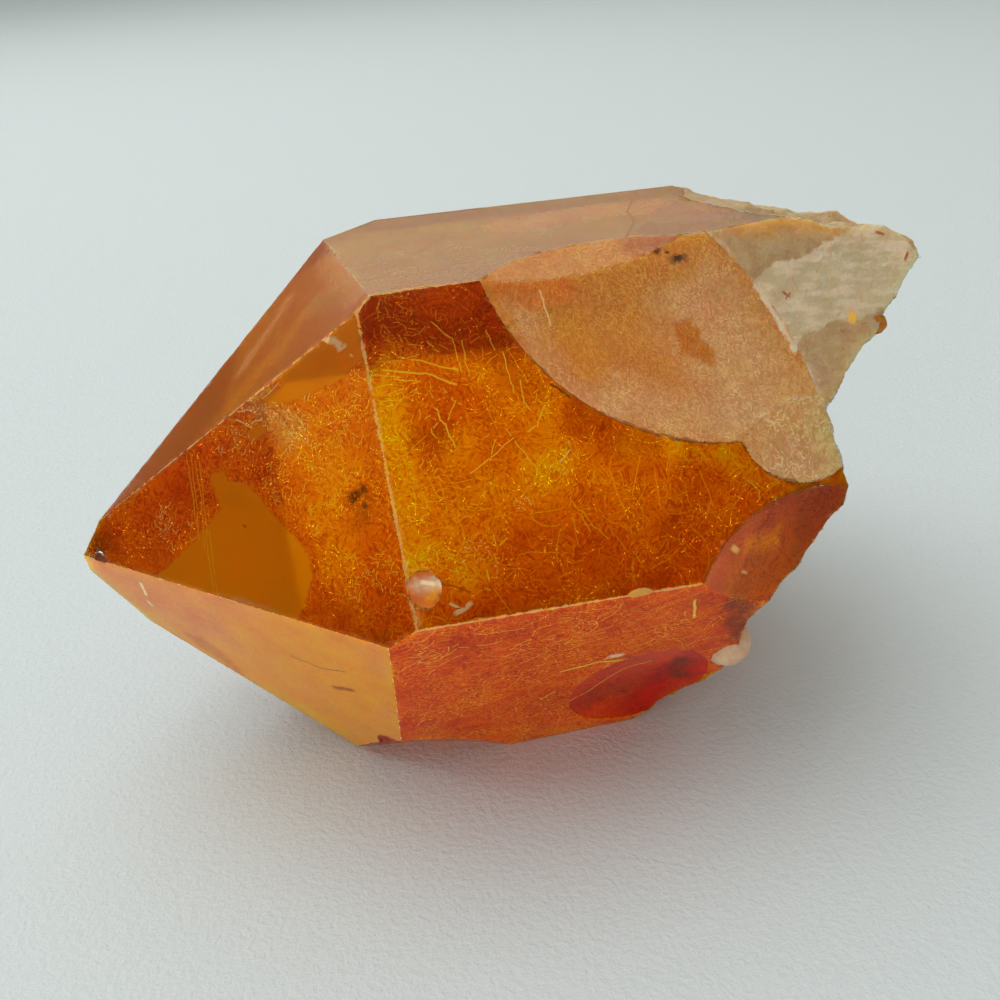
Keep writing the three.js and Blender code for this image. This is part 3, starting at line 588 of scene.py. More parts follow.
# ---- fine hairs, strands and specks, drawn as lines that run across the triangles ----
fibres = {
    "step": 0.25,  # between the points of a hair
    "reach": 0.55,  # how far from a triangle's middle its hair may pass
    "hairs": [  # surface, hairs per square millimetre, shortest, longest, half width, heading, spread, curl
        ("pointFrontUpper", 2.4, 0.9, 4.0, 0.045, (0.3, 0, 1), 1.0, 0.6),
        ("prismFrontUpper", 1.2, 0.8, 4.6, 0.045, (0.5, 0, 1), 1.0, 0.35),
        ("prismFrontLower", 2.0, 1.0, 4.5, 0.05, (1, 0, 0.12), 0.4, 0.4),
        ("prismBackUpper", 1.2, 0.5, 2.2, 0.05, (1, 0, 0.3), 1.2, 0.8),
        ("prismBackLower", 1.2, 0.5, 2.2, 0.05, (1, 0, 0.3), 1.2, 0.8),
        ("pointBackUpper", 1.6, 0.5, 2.2, 0.05, (0.3, 0, 1), 1.2, 0.8),
        ("pointBackLower", 1.2, 0.5, 2.2, 0.05, (0.3, 0, 1), 1.2, 0.8),
        ("shoulder", 5.5, 0.5, 2.0, 0.045, (0.32, 0, -0.9), 0.5, 0.7),
        ("shoulderStep", 1.5, 0.5, 1.6, 0.06, (0.32, 0, -0.9), 0.8, 0.6),
        ("crest", 1.0, 0.5, 1.8, 0.06, (1, 0, 0), 0.6, 0.5),
        ("creamFacet", 1.2, 0.4, 1.6, 0.06, (0.4, 0, -0.8), 0.9, 0.6),
    ],
    "longHairs": [
        ("prismFrontUpper", 0.06, 3, 9, 0.04, (0.4, 0, 1), 0.9, 0.12),
        ("prismFrontLower", 0.08, 3, 9, 0.04, (1, 0, 0.2), 0.3, 0.08),
    ],
    "tints": {
        "bright": (0.97, 0.78, 0.10),
        "pale": (0.97, 0.92, 0.45),
        "chip": (0.97, 0.85, 0.55),
        "copper": (0.95, 0.52, 0.02),
        "rustBrown": (0.40, 0.08, 0.003),
        "crack": (0.30, 0.09, 0.01),
        "black": (0.012, 0.006, 0.005),
    },
    "tufts": [  # tint, middle, reach, then as hairs, with the count in place of the density
        ("bright", (-9.2, -25.9, 30.0), 1.7, "prismFrontUpper", 29, 0.4, 1.7, 0.045, (0.6, 0, 1), 1.3, 1.2),
        ("pale", (-9.0, -25.5, 30.6), 1.4, "prismFrontUpper", 19, 0.3, 1.0, 0.045, (0.6, 0, 1), 1.3, 1.0),
        ("pale", (-0.9, -22.3, 35.8), 1.0, "prismFrontUpper", 12, 0.3, 0.9, 0.054, (0.8, 0, 1), 0.5, 0.8),
        ("pale", (0.4, -21.8, 36.7), 0.8, "prismFrontUpper", 9, 0.3, 0.8, 0.054, (0.3, 0, 1), 0.7, 0.8),
        ("pale", (-4.3, -23.7, 33.6), 0.6, "prismFrontUpper", 6, 0.4, 1.1, 0.045, (0.1, 0, 1), 0.6, 1.5),
        ("bright", (-10.7, -17.4, 44.8), 2.6, "prismFrontUpper", 13, 1.5, 5.2, 0.045, (1, 0, -0.15), 0.2, 0.1),
        ("bright", (-13.0, -17.6, 44.5), 1.6, "prismFrontUpper", 10, 0.8, 2.9, 0.045, (1, 0, -0.1), 0.4, 0.3),
        ("bright", (-9.9, -20.0, 40.3), 1.6, "prismFrontUpper", 13, 0.5, 2.1, 0.054, (0.3, 0, -1), 0.7, 0.8),
        ("bright", (-10.0, -18.9, 42.2), 1.2, "prismFrontUpper", 9, 0.5, 2.1, 0.045, (1, 0, 0.5), 1.0, 0.8),
        ("bright", (-11.8, -22.0, 36.8), 1.2, "prismFrontUpper", 12, 0.4, 1.6, 0.045, (1, 0, 0.5), 1.0, 0.8),
        ("copper", (-12.3, -15.7, 47.7), 3.2, "prismFrontUpper", 22, 0.8, 3.4, 0.041, (1, 0, 0.3), 1.0, 0.6),
        ("copper", (-6.6, -16.9, 45.5), 3.0, "prismFrontUpper", 16, 1.0, 4.6, 0.041, (0.4, 0, -1), 0.6, 0.3),
        ("bright", (-1.7, -19.3, 41.0), 1.8, "prismFrontUpper", 7, 0.6, 2.3, 0.045, (0.8, 0, 1), 0.8, 0.6),
        ("bright", (-13.6, -25.6, 30.8), 1.6, "prismFrontUpper", 10, 0.6, 2.5, 0.041, (1, 0, 0.1), 0.3, 0.5),
        ("copper", (6.1, -24.3, 32.1), 5.0, "prismFrontUpper", 28, 1.2, 5.2, 0.041, (0.15, 0, 1), 0.5, 0.3),
        ("bright", (17.0, -24.5, 31.2), 1.5, "prismFrontUpper", 10, 0.6, 2.3, 0.045, (0.6, 0, 1), 0.8, 0.5),
        ("pale", (-21.8, -14.6, 40.1), 2.8, "pointFrontUpper", 26, 0.7, 3.0, 0.045, (0.3, 0, 1), 1.0, 1.3),
        ("pale", (-24.6, -11.2, 41.6), 2.0, "pointFrontUpper", 19, 0.5, 2.1, 0.045, (0.6, 0, 1), 1.0, 1.3),
        ("pale", (-27.5, -10.6, 37.9), 1.8, "pointFrontUpper", 14, 0.6, 2.3, 0.045, (0.3, 0, 1), 0.8, 1.2),
        ("pale", (-35.3, -8.4, 29.5), 2.0, "pointFrontUpper", 16, 0.6, 2.5, 0.041, (0.6, 0, 1), 0.9, 1.3),
        ("bright", (-18.1, -17.4, 41.1), 3.5, "pointFrontUpper", 28, 0.7, 2.8, 0.045, (0.5, 0, 1), 1.1, 1.2),
        ("bright", (-20.9, -17.7, 36.0), 3.5, "pointFrontUpper", 28, 0.7, 2.8, 0.045, (0.4, 0, 1), 1.1, 1.2),
        ("bright", (-18.7, -23.7, 28.8), 3.0, "pointFrontUpper", 22, 0.6, 2.3, 0.045, (0.4, 0, 1), 1.1, 1.2),
        ("bright", (-24.7, -14.7, 35.3), 2.0, "pointFrontUpper", 15, 0.6, 2.3, 0.045, (0.2, 0, 1), 0.9, 1.2),
        ("pale", (4.2, -22.7, 14.9), 0.9, "prismFrontLower", 10, 0.4, 1.4, 0.054, (1, 0, 0.2), 0.5, 0.8),
        ("bright", (10.7, -25.8, 20.3), 1.0, "prismFrontLower", 9, 0.6, 1.8, 0.054, (0.1, 0, 1), 0.4, 0.6),
        ("bright", (-13.3, -26.0, 21.2), 2.4, "prismFrontLower", 19, 1.0, 4.6, 0.041, (1, 0, 0.3), 0.3, 0.2),
        ("bright", (-2.1, -25.4, 19.9), 4.5, "prismFrontLower", 32, 1.0, 5.2, 0.041, (1, 0, 0.15), 0.3, 0.2),
        ("copper", (-9.0, -20.6, 11.4), 4.0, "prismFrontLower", 19, 1.0, 4.0, 0.041, (1, 0, 0.05), 0.3, 0.3),
    ],
    "strands": [  # surface, tint, half width, path
        ("prismFrontUpper", "bright", 0.07, ((-12.9, -16.9, 45.8), (-10.3, -17.3, 45.0), (-7.9, -17.7, 44.1))),
        ("prismFrontUpper", "bright", 0.09, ((-14.4, -17.3, 45.0), (-10.6, -17.7, 44.2), (-8.3, -18.3, 43.1))),
        ("prismFrontUpper", "bright", 0.06, ((-15.2, -17.5, 44.8), (-12.3, -17.8, 44.1))),
        ("prismFrontUpper", "bright", 0.06, ((-13.6, -17.8, 44.2), (-11.1, -18.0, 43.7))),
        ("prismFrontUpper", "bright", 0.05, ((-14.8, -17.0, 45.7), (-12.7, -17.0, 45.5), (-11.0, -16.9, 45.7))),
        ("prismFrontUpper", "bright", 0.05, ((-9.5, -15.5, 48.0), (-8.0, -16.3, 46.5), (-7.7, -17.8, 44.0))),
        ("prismFrontUpper", "bright", 0.05, ((-10.2, -16.3, 46.6), (-9.2, -16.9, 45.6))),
        ("prismFrontUpper", "bright", 0.07, ((-10.6, -19.2, 41.7), (-10.0, -19.9, 40.4), (-9.4, -21.0, 38.5))),
        ("prismFrontUpper", "bright", 0.05, ((-9.6, -19.8, 40.6), (-8.7, -19.0, 41.9), (-8.9, -18.8, 42.2))),
        ("prismFrontUpper", "bright", 0.05, ((-8.5, -22.2, 36.4), (-4.3, -20.9, 38.4), (-2.5, -22.6, 35.4))),
        ("prismFrontUpper", "bright", 0.05, ((-7.0, -21.9, 36.7), (-5.6, -20.7, 38.8))),
        ("prismFrontUpper", "bright", 0.05, ((-3.8, -17.1, 45.0), (-3.6, -18.0, 43.4), (-3.5, -18.9, 41.8))),
        ("prismFrontUpper", "copper", 0.05, ((0.4, -24.2, 32.4), (1.5, -25.1, 30.9), (2.6, -25.8, 29.7))),
        ("prismFrontUpper", "copper", 0.05, ((0.0, -23.9, 33.0), (1.2, -25.5, 30.2))),
        ("prismFrontUpper", "copper", 0.05, ((3.8, -22.8, 34.8), (4.6, -25.1, 30.8))),
        ("prismFrontUpper", "copper", 0.05, ((6.8, -22.3, 35.5), (5.3, -24.2, 32.2))),
        ("prismFrontUpper", "bright", 0.05, ((-4.9, -16.1, 46.8), (-4.4, -17.1, 45.0))),
        ("prismFrontUpper", "bright", 0.05, ((-7.2, -16.4, 46.3), (-7.1, -18.2, 43.3))),
        ("prismFrontUpper", "bright", 0.06, ((-2.7, -18.4, 42.7), (-2.7, -19.4, 41.0), (-2.3, -19.7, 40.3))),
        ("prismFrontUpper", "bright", 0.07, ((-0.9, -19.6, 40.5), (-1.9, -20.4, 39.1), (-2.8, -20.7, 38.7))),
        ("prismFrontUpper", "copper", 0.05, ((7.9, -23.0, 34.2), (7.8, -25.0, 30.7))),
        ("prismFrontUpper", "copper", 0.05, ((12.1, -23.3, 33.5), (12.7, -24.7, 31.1), (11.8, -25.5, 29.7))),
        ("prismFrontUpper", "bright", 0.06, ((16.4, -24.0, 32.1), (17.4, -24.6, 31.0), (17.1, -25.0, 30.4))),
        ("prismFrontUpper", "pale", 0.09, ((-0.5, -22.2, 36.1), (0.8, -21.7, 36.9))),
        ("prismFrontUpper", "bright", 0.08, ((-8.6, -26.3, 29.2), (-8.5, -26.8, 28.4))),
        ("prismFrontUpper", "bright", 0.08, ((-10.5, -25.8, 30.3), (-10.2, -26.2, 29.4))),
        ("prismFrontUpper", "bright", 0.07, ((-7.5, -24.9, 31.6), (-7.4, -25.3, 30.9))),
        ("prismFrontUpper", "chip", 0.22, ((-11.9, -28.0, 26.5), (-10.2, -27.6, 27.1))),
        ("prismFrontUpper", "chip", 0.14, ((-12.2, -27.5, 27.3), (-11.3, -27.8, 26.7))),
        ("prismFrontUpper", "bright", 0.07, ((-7.1, -25.4, 30.8), (-6.3, -25.1, 31.2))),
        ("prismFrontUpper", "rustBrown", 0.10, ((-13.9, -26.3, 29.5), (-11.8, -26.8, 28.5), (-10.3, -27.2, 27.8))),
        ("prismFrontUpper", "black", 0.12, ((-0.1, -18.7, 42.0), (0.7, -19.0, 41.4), (1.4, -19.4, 40.7))),
        ("prismFrontUpper", "rustBrown", 0.10, ((1.5, -19.6, 40.4), (3.0, -20.1, 39.4), (4.8, -20.8, 38.2))),
        ("faceNick", "chip", 0.20, ((-14.3, -26.2, 29.1), (-13.2, -26.3, 28.8))),
        ("faceNick", "chip", 0.30, ((-12.7, -26.4, 28.9), (-12.3, -26.8, 28.6))),
        ("faceNick", "rustBrown", 0.20, ((-12.9, -26.9, 28.0), (-12.7, -27.4, 27.7))),
        ("prismFrontUpper", "chip", 0.40, ((-14.7, -26.4, 29.3), (-14.8, -26.8, 28.6))),
        ("prismFrontLower", "chip", 0.35, ((3.5, -22.7, 14.9), (4.9, -22.7, 14.9))),
        ("prismFrontLower", "bright", 0.15, ((10.3, -26.9, 22.4), (11.1, -25.0, 18.9))),
        ("prismFrontLower", "bright", 0.12, ((-1.3, -22.0, 13.9), (2.6, -22.3, 14.3), (7.9, -21.9, 13.3))),
        ("prismFrontLower", "copper", 0.10, ((-2.7, -19.3, 8.9), (-1.2, -20.1, 10.3))),
        ("redSpall", "black", 0.10, ((8.2, -20.6, 12.0), (9.0, -20.4, 11.7))),
        ("redSpall", "copper", 0.08, ((0.1, -18.4, 7.0), (2.8, -18.5, 8.2), (6.0, -20.0, 11.2), (9.0, -20.4, 11.7))),
        ("pointFrontUpper", "black", 0.42, ((-18.8, -20.2, 35.0), (-17.8, -20.7, 35.7))),
        ("pointFrontUpper", "black", 0.36, ((-17.7, -20.5, 36.1), (-17.4, -21.0, 35.7))),
        ("pointFrontUpper", "black", 0.30, ((-17.8, -21.2, 34.8), (-17.6, -21.6, 34.5))),
        ("pointFrontUpper", "rustBrown", 0.20, ((-17.8, -21.6, 34.2), (-17.6, -22.0, 33.7))),
        ("pointFrontUpper", "black", 0.20, ((-18.7, -20.4, 34.6), (-18.2, -20.6, 35.2))),
        ("pointFrontUpper", "rustBrown", 0.12, ((-28.1, -14.0, 31.0), (-27.9, -14.3, 30.9))),
        # pale specks at the edge of the point's top: small chips, and in part painted highlights
        ("pointFrontUpper", "pale", 0.10, ((-16.8, -15.7, 46.2), (-16.6, -15.9, 46.1))),
        ("pointFrontUpper", "chip", 0.35, ((-18.4, -13.6, 47.2), (-17.2, -15.0, 46.8))),
        ("pointFrontUpper", "chip", 0.20, ((-17.7, -14.8, 46.4), (-17.0, -15.1, 46.9))),
        ("pointFrontUpper", "pale", 0.07, ((-27.2, -9.3, 40.9), (-25.6, -10.3, 41.6), (-24.8, -10.6, 42.3))),
        ("pointFrontUpper", "pale", 0.07, ((-26.9, -9.9, 40.3), (-25.2, -11.1, 40.8))),
        ("pointFrontUpper", "pale", 0.06, ((-24.6, -11.2, 41.7), (-22.8, -11.9, 43.3))),
        ("pointFrontUpper", "pale", 0.07, ((-27.2, -10.0, 39.6), (-26.2, -11.1, 39.3), (-24.9, -11.8, 40.1))),
        ("pointFrontUpper", "copper", 0.05, ((-31.8, -7.8, 36.2), (-32.0, -9.8, 32.3), (-32.4, -11.4, 28.9))),
        ("pointFrontUpper", "copper", 0.05, ((-31.4, -8.0, 36.4), (-31.5, -10.2, 32.3), (-32.0, -12.1, 28.2))),
        ("pointFrontUpper", "copper", 0.05, ((-31.1, -8.8, 35.5), (-31.4, -11.2, 30.7), (-31.8, -12.9, 27.0))),
        ("pointFrontUpper", "copper", 0.05, ((-31.5, -11.1, 30.7), (-31.7, -12.8, 27.4), (-31.8, -14.1, 24.9))),
        ("pointFrontUpper", "copper", 0.05, ((-31.3, -11.8, 30.0), (-31.5, -14.1, 25.4), (-31.5, -14.8, 24.2))),
        ("pointFrontUpper", "copper", 0.05, ((-32.2, -7.6, 35.9), (-32.2, -9.2, 33.0), (-32.4, -10.4, 30.5))),
        # pale marks near the tip: small chips, and in part painted highlights
        ("pointFrontLower", "pale", 0.20, ((-38.9, -6.6, 22.9), (-38.8, -5.2, 20.4))),
        ("pointFrontLower", "pale", 0.22, ((-38.9, -4.6, 19.6), (-38.6, -4.4, 18.8))),
        ("pointFrontLower", "rustBrown", 0.35, ((-22.5, -16.4, 13.3), (-20.5, -18.7, 14.0))),
        ("pointFrontLower", "crack", 0.10, ((-26.0, -15.5, 17.2), (-23.5, -17.4, 16.5), (-21.3, -19.9, 17.2))),
        ("prismTop", "crack", 0.10, ((18.1, 9.7, 50.3), (15.3, 3.8, 50.3), (14.7, 0.1, 50.4), (11.3, -6.7, 50.5))),
        ("prismTop", "crack", 0.06, ((15.9, 3.4, 50.3), (18.3, 5.1, 50.3), (18.8, 2.8, 50.4))),
        ("prismTop", "crack", 0.05, ((-10.0, -4.6, 50.5), (-4.9, 1.9, 50.4), (-0.1, 4.7, 50.3))),
        ("prismTop", "crack", 0.05, ((-13.2, 6.5, 50.3), (-7.7, 9.0, 50.3), (0.3, 11.0, 50.2))),
        ("prismTop", "crack", 0.05, ((-0.0, -3.0, 50.5), (4.8, 0.0, 50.4), (11.4, 1.0, 50.4))),
        ("prismTop", "crack", 0.05, ((-12.5, -3.3, 50.5), (-11.1, 0.9, 50.4), (-7.3, 5.0, 50.3))),
        ("pointTop", "rustBrown", 0.08, ((-23.4, 1.6, 43.8), (-20.2, 1.8, 46.4), (-18.1, 1.1, 48.1))),
        ("pointTop", "pale", 0.10, ((-17.3, -20.6, 48.0), (-17.3, -21.3, 48.1))),
        ("shoulder", "black", 0.42, ((13.3, -8.7, 49.8), (13.9, -8.8, 49.6))),
        ("shoulder", "black", 0.50, ((15.1, -9.3, 48.7), (16.4, -9.2, 48.7))),
        ("shoulder", "black", 0.25, ((15.7, -9.1, 48.9), (15.7, -9.4, 48.4))),
        ("shoulder", "black", 0.14, ((14.5, -8.9, 49.4), (14.8, -8.9, 49.3))),
        ("crest", "rustBrown", 0.15, ((11.7, -6.3, 50.6), (14.7, -6.9, 50.6), (18.2, -8.3, 50.7))),
        ("creamFacet", "rustBrown", 0.16, ((25.3, -11.8, 44.9), (25.9, -12.1, 44.4))),
        ("creamFacet", "rustBrown", 0.10, ((25.4, -12.3, 44.3), (26.1, -11.8, 44.7))),
        ("creamFacet", "copper", 0.45, ((32.2, -13.1, 42.3), (31.7, -13.9, 41.6))),
        ("creamFacet", "rustBrown", 0.20, ((37.8, -6.9, 48.0), (38.6, -7.1, 47.7))),
        ("creamFacet", "rustBrown", 0.15, ((40.5, -8.6, 46.0), (39.8, -9.3, 45.3))),
        ("shoulder", "pale", 0.08, ((1.0, -12.7, 48.6), (1.3, -15.0, 45.6))),
        ("shoulder", "rustBrown", 0.09, ((22.8, -25.8, 32.7), (23.0, -27.3, 31.8))),
        ("frontBevel", "rustBrown", 0.20, ((15.2, -26.0, 28.9), (15.9, -25.6, 28.2))),
        ("frontBevel", "chip", 0.30, ((14.1, -26.2, 26.8), (14.9, -25.9, 26.0))),
        ("frontBevel", "chip", 0.15, ((15.4, -25.7, 23.7), (16.0, -25.6, 23.3))),
        ("frontBevel", "chip", 0.12, ((23.3, -24.2, 24.6), (23.7, -24.2, 24.3))),
    ],
}


def planeAxes(normal):
    right = np.cross(normal, [1.0, 0, 0])
    right /= np.linalg.norm(right, axis=-1)[..., None]
    return right, np.cross(normal, right)


def growHairs(dice, surface, density, shortest, longest, width, heading, spread, curl, middle=None, reach=0):
    """Points along random curved hairs: place, direction, distance from the start, length, width."""
    tiles = triangle[owners == surfaceIndex[surface]]
    area = np.linalg.norm(np.cross(tiles[:, 1] - tiles[:, 0], tiles[:, 2] - tiles[:, 0]), axis=1) / 2
    count = int(area.sum() * density) + 1
    if middle:
        count = density
        area = area * np.exp(-(np.linalg.norm(tiles.mean(1) - middle, axis=1) / reach * 1.5) ** 2)
    place = tiles[dice.choice(len(tiles), count, p=area / area.sum())].mean(1)
    normal = offSurface(surface, place)[1]
    right, up = planeAxes(normal)
    angle = np.arctan2(up @ unit(heading), right @ unit(heading)) + dice.normal(0, spread, count)
    angle += np.pi * dice.integers(0, 2, count)
    length = shortest + (longest - shortest) * dice.random(count) ** 2
    bend = dice.normal(0, curl, count)
    grown = []
    for k in range(int(longest / fibres["step"]) + 1):
        along = np.full(count, k * fibres["step"])
        ray = np.cos(angle)[:, None] * right + np.sin(angle)[:, None] * up
        live = along < length
        grown.append(np.c_[place, ray, along, length, np.full(count, width), np.zeros((count, 3))][live])
        place = place + ray * fibres["step"]
        angle = angle + (bend + dice.normal(0, curl, count)) * fibres["step"] * 2
    return np.concatenate(grown)


def layStrand(width, tint, path):
    path = np.array(path, float)
    if len(path) > 2 or np.linalg.norm(path[-1] - path[0]) > 1.2:  # a long strand wanders a little
        steps = np.arange(0, len(path) - 1 + 1e-6, 0.2 if len(path) > 2 else 0.15)
        path = np.stack([np.interp(steps, np.arange(len(path)), path[:, k]) for k in range(3)], 1)
        path[1:-1] += [0.16 * noise.noise_vector(Vector(p) * 1.3) for p in path[1:-1]]
    legs = np.linalg.norm(np.diff(path, axis=0), axis=1)
    laid, before = [], 0.0
    for a, b, leg in zip(path[:-1], path[1:], legs):
        steps = max(2, int(leg / 0.15))
        for k in range(steps):
            share = k / (steps - 1)
            laid.append([*(a + share * (b - a)), *((b - a) / leg), before + share * leg, legs.sum(), width, *fibres["tints"][tint]])
        before += leg
    return np.array(laid)


def drawLines(samples, rows, lines, tints=None):
    """Each triangle takes the nearest line and keeps how far its corners lie from it and from its end."""
    finder = KDTree(len(samples))
    for i, sample in enumerate(samples):
        finder.insert(sample[:3], i)
    finder.balance()
    for row in rows:
        place, i, distance = finder.find(triangle[row].mean(0))
        ray, along, length, width = samples[i, 3:6], *samples[i, 6:9]
        if distance > fibres["reach"] + width:
            continue
        gap = triangle[row] - samples[i, :3]
        along = along + gap @ ray
        side = np.cross(outwardOf[row], ray)
        lines[row, :, 0] = (gap @ side) / width
        if length > 1.2:
            toEnd = np.minimum(along, length - along)
        else:
            toEnd = along if along.mean() < length / 2 else length - along
        lines[row, :, 1] = toEnd / width + (0 if tints is None else 1)  # strands run on by their half width
        lines[row, :, 2] = 1
        if tints is not None:
            tints[row] = samples[i, 9:12]


triangle = corner.reshape(-1, 3, 3)
outwardOf = np.cross(triangle[:, 1] - triangle[:, 0], triangle[:, 2] - triangle[:, 0])
outwardOf /= np.maximum(np.linalg.norm(outwardOf, axis=1), 1e-9)[:, None]
for layer, seed in (("hairOne", 11), ("hairTwo", 29)):
    dice = np.random.default_rng(seed)
    lines = np.zeros((len(triangle), 3, 3))
    for recipe in fibres["hairs"]:
        rows = np.nonzero(owners == surfaceIndex[recipe[0]])[0]
        drawLines(growHairs(dice, *recipe), rows, lines)
    thick = np.array([noise.fractal(Vector(p) * 0.3 + Vector((seed, 0, 0)), 0.6, 2.1, 4) for p in triangle.mean(1)])
    lines[:, :, 2] *= np.clip(0.5 + 1.5 * thick, 0.08, 1)[:, None]
    mesh.attributes.new(layer, "FLOAT_VECTOR", "CORNER").data.foreach_set("vector", lines.astype(np.float32).ravel())

dice = np.random.default_rng(5)
lines = np.zeros((len(triangle), 3, 3))
tints = np.ones((len(triangle), 3))
for recipe in fibres["longHairs"]:
    grown = growHairs(dice, *recipe)
    grown[:, 9:] = fibres["tints"]["copper"]
    drawLines(grown, np.nonzero(owners == surfaceIndex[recipe[0]])[0], lines, tints)
for surface in dict.fromkeys(line[0] for line in fibres["strands"]):
    rows = np.nonzero(owners == surfaceIndex[surface])[0]
    tufts = []
    for tint, middle, reach, *recipe in fibres["tufts"]:
        if recipe[0] == surface:
            tufts.append(growHairs(dice, *recipe, middle, reach))
            tufts[-1][:, 9:] = fibres["tints"][tint]
    if tufts:
        drawLines(np.concatenate(tufts), rows, lines, tints)
        lines[rows, :, 2] *= 0.8
    laid = [layStrand(*line[2:0:-1], line[3]) for line in fibres["strands"] if line[0] == surface]
    drawLines(np.concatenate(laid), rows, lines, tints)
mesh.attributes.new("strand", "FLOAT_VECTOR", "CORNER").data.foreach_set("vector", lines.astype(np.float32).ravel())
store("strandTint", np.repeat(tints, 3, axis=0))
print("fibres drawn")


# ---- node helpers ----
def newMaterial(name):
    material = bpy.data.materials.new(name)
    material.use_nodes = True
    tree = material.node_tree
    tree.nodes.clear()
    return material, tree


def put(tree, kind, settings=None, **inputs):
    """A node with its settings and inputs; an input may be a value or another node's output."""
    node = tree.nodes.new(kind)
    for key, value in (settings or {}).items():
        setattr(node, key, value)
    for key, value in inputs.items():
        socket = node.inputs[int(key[1:])] if key[0] == "n" and key[1:].isdigit() else node.inputs[key.replace("_", " ")]
        if isinstance(value, bpy.types.NodeSocket):
            tree.links.new(value, socket)
        else:
            socket.default_value = value
    return node


def sums(tree, operation, a, b=0.0, clamp=False):
    return put(tree, "ShaderNodeMath", {"operation": operation, "use_clamp": clamp}, n0=a, n1=b).outputs[0]


def ramp(tree, value, low, high, toLow=0.0, toHigh=1.0):
    """Smooth step of a value between two limits."""
    settings = {"interpolation_type": "SMOOTHSTEP"}
    node = put(tree, "ShaderNodeMapRange", settings, Value=value, From_Min=low, From_Max=high, To_Min=toLow, To_Max=toHigh)
    return node.outputs[0]


def blend(tree, amount, a, b, mode="MIX"):
    node = put(tree, "ShaderNodeMix", {"data_type": "RGBA", "blend_type": mode}, n0=amount)
    for socket, value in ((node.inputs[6], a), (node.inputs[7], b)):
        if isinstance(value, bpy.types.NodeSocket):
            tree.links.new(value, socket)
        else:
            socket.default_value = (*value, 1)
    return node.outputs[2]


def times(tree, colour, factor):
    return blend(tree, 1.0, colour, factor, "MULTIPLY")


def held(tree, colour):
    """No tint sends back more light than it gets."""
    return put(tree, "ShaderNodeVectorMath", {"operation": "MINIMUM"}, n0=colour, n1=(0.97, 0.95, 0.95)).outputs[0]


def attribute(tree, name):
    node = put(tree, "ShaderNodeAttribute", {"attribute_name": name})
    return node.outputs["Color"] if name in ("stain", "strandTint") else node.outputs["Fac"]


def stonePlace(tree):
    """Object coordinates in the stone's own millimetres."""
    coordinates = put(tree, "ShaderNodeTexCoord").outputs["Object"]
    back = tuple(-v for v in stone["shift"])
    return put(tree, "ShaderNodeMapping", Vector=coordinates, Location=back, Scale=(1000, 1000, 1000)).outputs[0]


def cloud(tree, place, scale, detail=2.0, rough=0.5, stretch=None, turn=(0, 0, 0), offset=(0, 0, 0), distortion=0.0):
    if stretch:
        angles = tuple(math.radians(a) for a in turn)
        place = put(tree, "ShaderNodeMapping", Vector=place, Rotation=angles, Scale=stretch, Location=offset).outputs[0]
    settings = {"normalize": True}
    return put(tree, "ShaderNodeTexNoise", settings, Vector=place, Scale=scale, Detail=detail, Roughness=rough, Distortion=distortion).outputs[0]


def lineMask(tree, name):
    """Fine lines from the stored distances: across in half widths, to the end, and strength."""
    node = put(tree, "ShaderNodeAttribute", {"attribute_name": name})
    parts = put(tree, "ShaderNodeSeparateXYZ", n0=node.outputs["Vector"]).outputs
    across = ramp(tree, sums(tree, "ABSOLUTE", parts[0]), 0.5, 1.3, 1.0, 0.0)
    end = sums(tree, "MULTIPLY", parts[1], 0.6, clamp=True)
    return sums(tree, "MULTIPLY", sums(tree, "MULTIPLY", across, end), parts[2])


def swayed(tree, place, scale, reach):
    sway = put(tree, "ShaderNodeTexNoise", Vector=place, Scale=scale, Detail=0.0).outputs["Color"]
    centred = put(tree, "ShaderNodeVectorMath", {"operation": "SUBTRACT"}, n0=sway, n1=(0.5, 0.5, 0.5)).outputs[0]
    reached = put(tree, "ShaderNodeVectorMath", {"operation": "SCALE"}, n0=centred, Scale=reach).outputs[0]
    return put(tree, "ShaderNodeVectorMath", {"operation": "ADD"}, n0=place, n1=reached).outputs[0]


quartz = {  # the body of the stone, the same under every finish
    "ior": 1.54,
    "gloss": 0.13,
    "throughTint": (1.0, 0.9, 0.05),
    "throughDensity": 36.0,
}


def finishStone(material, tree, base, rough, bump, finish):
    surface = put(
        tree, "ShaderNodeBsdfPrincipled", Base_Color=held(tree, base), Roughness=rough,
        IOR=quartz["ior"], Specular_IOR_Level=quartz["gloss"], Subsurface_Weight=finish["glow"],
        Subsurface_Scale=finish["glowDepth"], Subsurface_Radius=finish["glowReach"],
        Transmission_Weight=finish["clear"], Specular_Tint=(*finish.get("glint", (1, 1, 1)), 1),
    )
    if bump:
        tree.links.new(bump, surface.inputs["Normal"])
    tint = (*quartz["throughTint"], 1)
    inside = put(tree, "ShaderNodeVolumeAbsorption", Color=tint, Density=quartz["throughDensity"])
    out = put(tree, "ShaderNodeOutputMaterial")
    tree.links.new(surface.outputs[0], out.inputs[0])
    tree.links.new(inside.outputs[0], out.inputs["Volume"])
    return material


# ---- iron-stained skin of the growth faces ----
stainedSkin = {
    "roughness": 0.12,
    "filmTint": (0.78, 0.27, 0.0),
    # pale edge line: real wear, and in part a painted highlight along the edges
    "wornEdgeAndHighlightTint": (0.95, 0.69, 0.30),
    "mottleTint": (0.62, 0.32, 0.4),
    "lift": (1.7, 1.45, 1.6),  # the tints are those of the lit face, this makes them the stone's own
    "glow": 1.0,  # share of the light that wanders through the stone under the skin
    "glowDepth": 0.014,
    "glowReach": (1.0, 0.4, 0.1),
    "clear": 0.8,
    "milkyClear": 0.35,
    "glint": (1.0, 0.70, 0.18),  # colour of its reflections
    "milkyGlint": (0.9, 0.5, 0.05),
}


